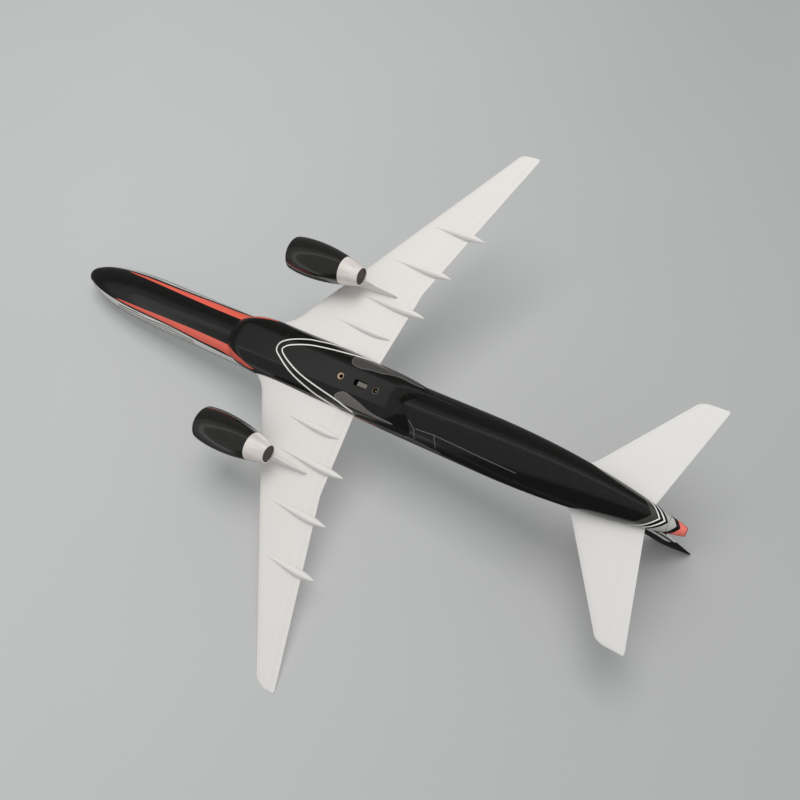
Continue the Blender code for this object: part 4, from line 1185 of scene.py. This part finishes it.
def aim(obj, place, along, axis):
    """Puts obj at place, with its own axis along a direction."""
    obj.location = place
    obj.rotation_mode = "QUATERNION"
    obj.rotation_quaternion = Vector(along).to_track_quat(axis, "Y")


def stage_plane(name, centre, normal, colour):
    """A pale sheet that only the camera sees, and only from one side, shaded from left to right."""
    mesh = bpy.data.meshes.new(name)
    corners = ((-1, -1), (1, -1), (1, 1), (-1, 1))
    mesh.from_pydata([(x * SHEET_HALF, y * SHEET_HALF, 0.0) for x, y in corners], [], [(0, 1, 2, 3)])
    sheet = placed(name, mesh)
    aim(sheet, centre, normal, "Z")
    for way in ("diffuse", "glossy", "transmission", "volume_scatter", "shadow"):
        setattr(sheet, "visible_" + way, False)
    paint = Paint(name + "_paper", colour)
    cloud = paint.cloudy(0.0, 0.03, 3.0, 2.0)
    surface = paint.node("NewGeometry").outputs
    across = paint.dot(surface["Position"], CAMERA_RIGHT)
    fall = paint.range(across, SHADE_LEFT, SHADE_RIGHT, 0.0, SHADE_DEPTH)
    paint.lay(paint.math("ADD", cloud, fall), (0.0, 0.0, 0.0))
    paint.set(Base_Color=paint.tone, Roughness=0.9, Specular_IOR_Level=0.0)
    clear = paint.node("BsdfTransparent").outputs[0]
    blend = paint.node("MixShader", surface["Backfacing"], paint.shader.outputs[0], clear)
    paint.plug(paint.tree.nodes["Material Output"], "Surface", blend.outputs[0])
    mesh.materials.append(paint.material)


def soft_light(name, toward, distance, power, tint=(1.0, 1.0, 1.0)):
    """A square light that far off in a direction, aimed at the model."""
    data = bpy.data.lights.new(name, "AREA")
    data.size = 0.8
    data.energy = power
    data.color = tint
    lamp = placed(name, data)
    toward = Vector(toward).normalized()
    aim(lamp, toward * distance, -toward, "-Z")
    lamp.visible_glossy = False


def set_stage():
    table = Vector(ORIGIN * MM) + Vector((0.0, 0.0, TABLE_HEIGHT))
    stage_plane("table_sheet", table, TABLE_NORMAL, (0.532, 0.546, 0.549))
    stage_plane("floor_sheet", (0, 0, CAD_BOX[0].z - 0.0002), (0, 0, 1), (0.74, 0.735, 0.73))
    set_world()
    soft_light("key_below", (0.42, 0.11, -0.90), 1.3, 9.3, (1.0, 0.985, 0.96))
    soft_light("key_above", (-0.12, -0.10, 1.0), 1.5, 9.0)


def set_world():
    """Even pale light, seen by shiny paint as a dim room with a long window and one dark wall."""
    world = bpy.data.worlds.new("studio")
    bpy.context.scene.world = world
    world.use_nodes = True
    nodes = Nodes(world.node_tree)
    way = nodes.node("TexCoord").outputs["Generated"]
    ramp = nodes.node("ValToRGB", nodes.range(nodes.dot(way, WINDOW_SIDE), -1.0, 1.0))
    stops = ramp.color_ramp.elements
    for k, (place, value) in enumerate(WINDOW_RAMP):
        stop = stops[k] if k < 2 else stops.new(place)
        stop.position = place
        stop.color = (value, value, value * 0.99, 1.0)
    wall = nodes.range(nodes.dot(way, WALL_SIDE), *WALL_EDGE, WALL_SHARE)
    room = nodes.vector("SCALE", ramp.outputs["Color"], share=wall)
    glossy = nodes.node("LightPath").outputs["Is Glossy Ray"]
    background = nodes.tree.nodes["Background"]
    nodes.plug(background, "Color", nodes.mix(glossy, ROOM_LIGHT, room))


def set_camera():
    data = bpy.data.cameras.new("camera")
    data.sensor_width = 36.0
    data.lens = CAMERA_LENS
    data.clip_start = 0.01
    data.clip_end = 20.0
    camera = placed("camera", data)
    turn = Matrix((CAMERA_RIGHT, CAMERA_RIGHT.cross(CAMERA_AIM), -CAMERA_AIM)).transposed().to_4x4()
    camera.matrix_world = Matrix.Translation(CAMERA_PLACE + Vector(ORIGIN * MM)) @ turn
    bpy.context.scene.camera = camera


def build():
    white = wing_paint("wing_white", ((3.2, 1.0), (4.8, 0.8), (9.2, 0.7), (11.4, 0.7)))
    tail_white = wing_paint("tail_white", ((10.5, 0.6),), (0.735, 0.728, 0.716))
    moulded = wing_paint("moulded_white", ((-9.0, 0.0),))
    metal("fan_metal", (0.60, 0.59, 0.58), 0.26)
    cowl_paint = enamel(Paint("cowl_black", (0.0125, 0.012, 0.011)), 0.13, 1.0)
    lip_metal = metal("lip_metal", (0.80, 0.80, 0.81), 0.12)
    # The nozzles get lengthwise streaks of painted reflection, darker and pinkish
    nozzle_metal = metal("nozzle_metal", (0.93, 0.88, 0.845), 0.3, metallic=0.25, streaks=0.35)
    plug_paint = plastic("plug_brown", (0.050, 0.034, 0.028), 0.5)
    build_fuselage()
    build_fairing()
    build_fittings()
    body = body_solid("body_room", 0.5, LENGTH, 0.12)
    fairing = fairing_solid("fairing_room", 0.12)
    build_fin(body)
    for side, label in SIDES:
        build_wing(side, label, white, body, fairing)
        build_tailplane(side, label, tail_white, body)
        build_engine(side, label, cowl_paint, lip_metal, nozzle_metal, plug_paint, moulded)
    for helper in (body, fairing):
        bpy.data.objects.remove(helper)
    dress_carried_over()
    set_stage()
    set_camera()


build()
bpy.context.scene.view_settings.view_transform = "Standard"
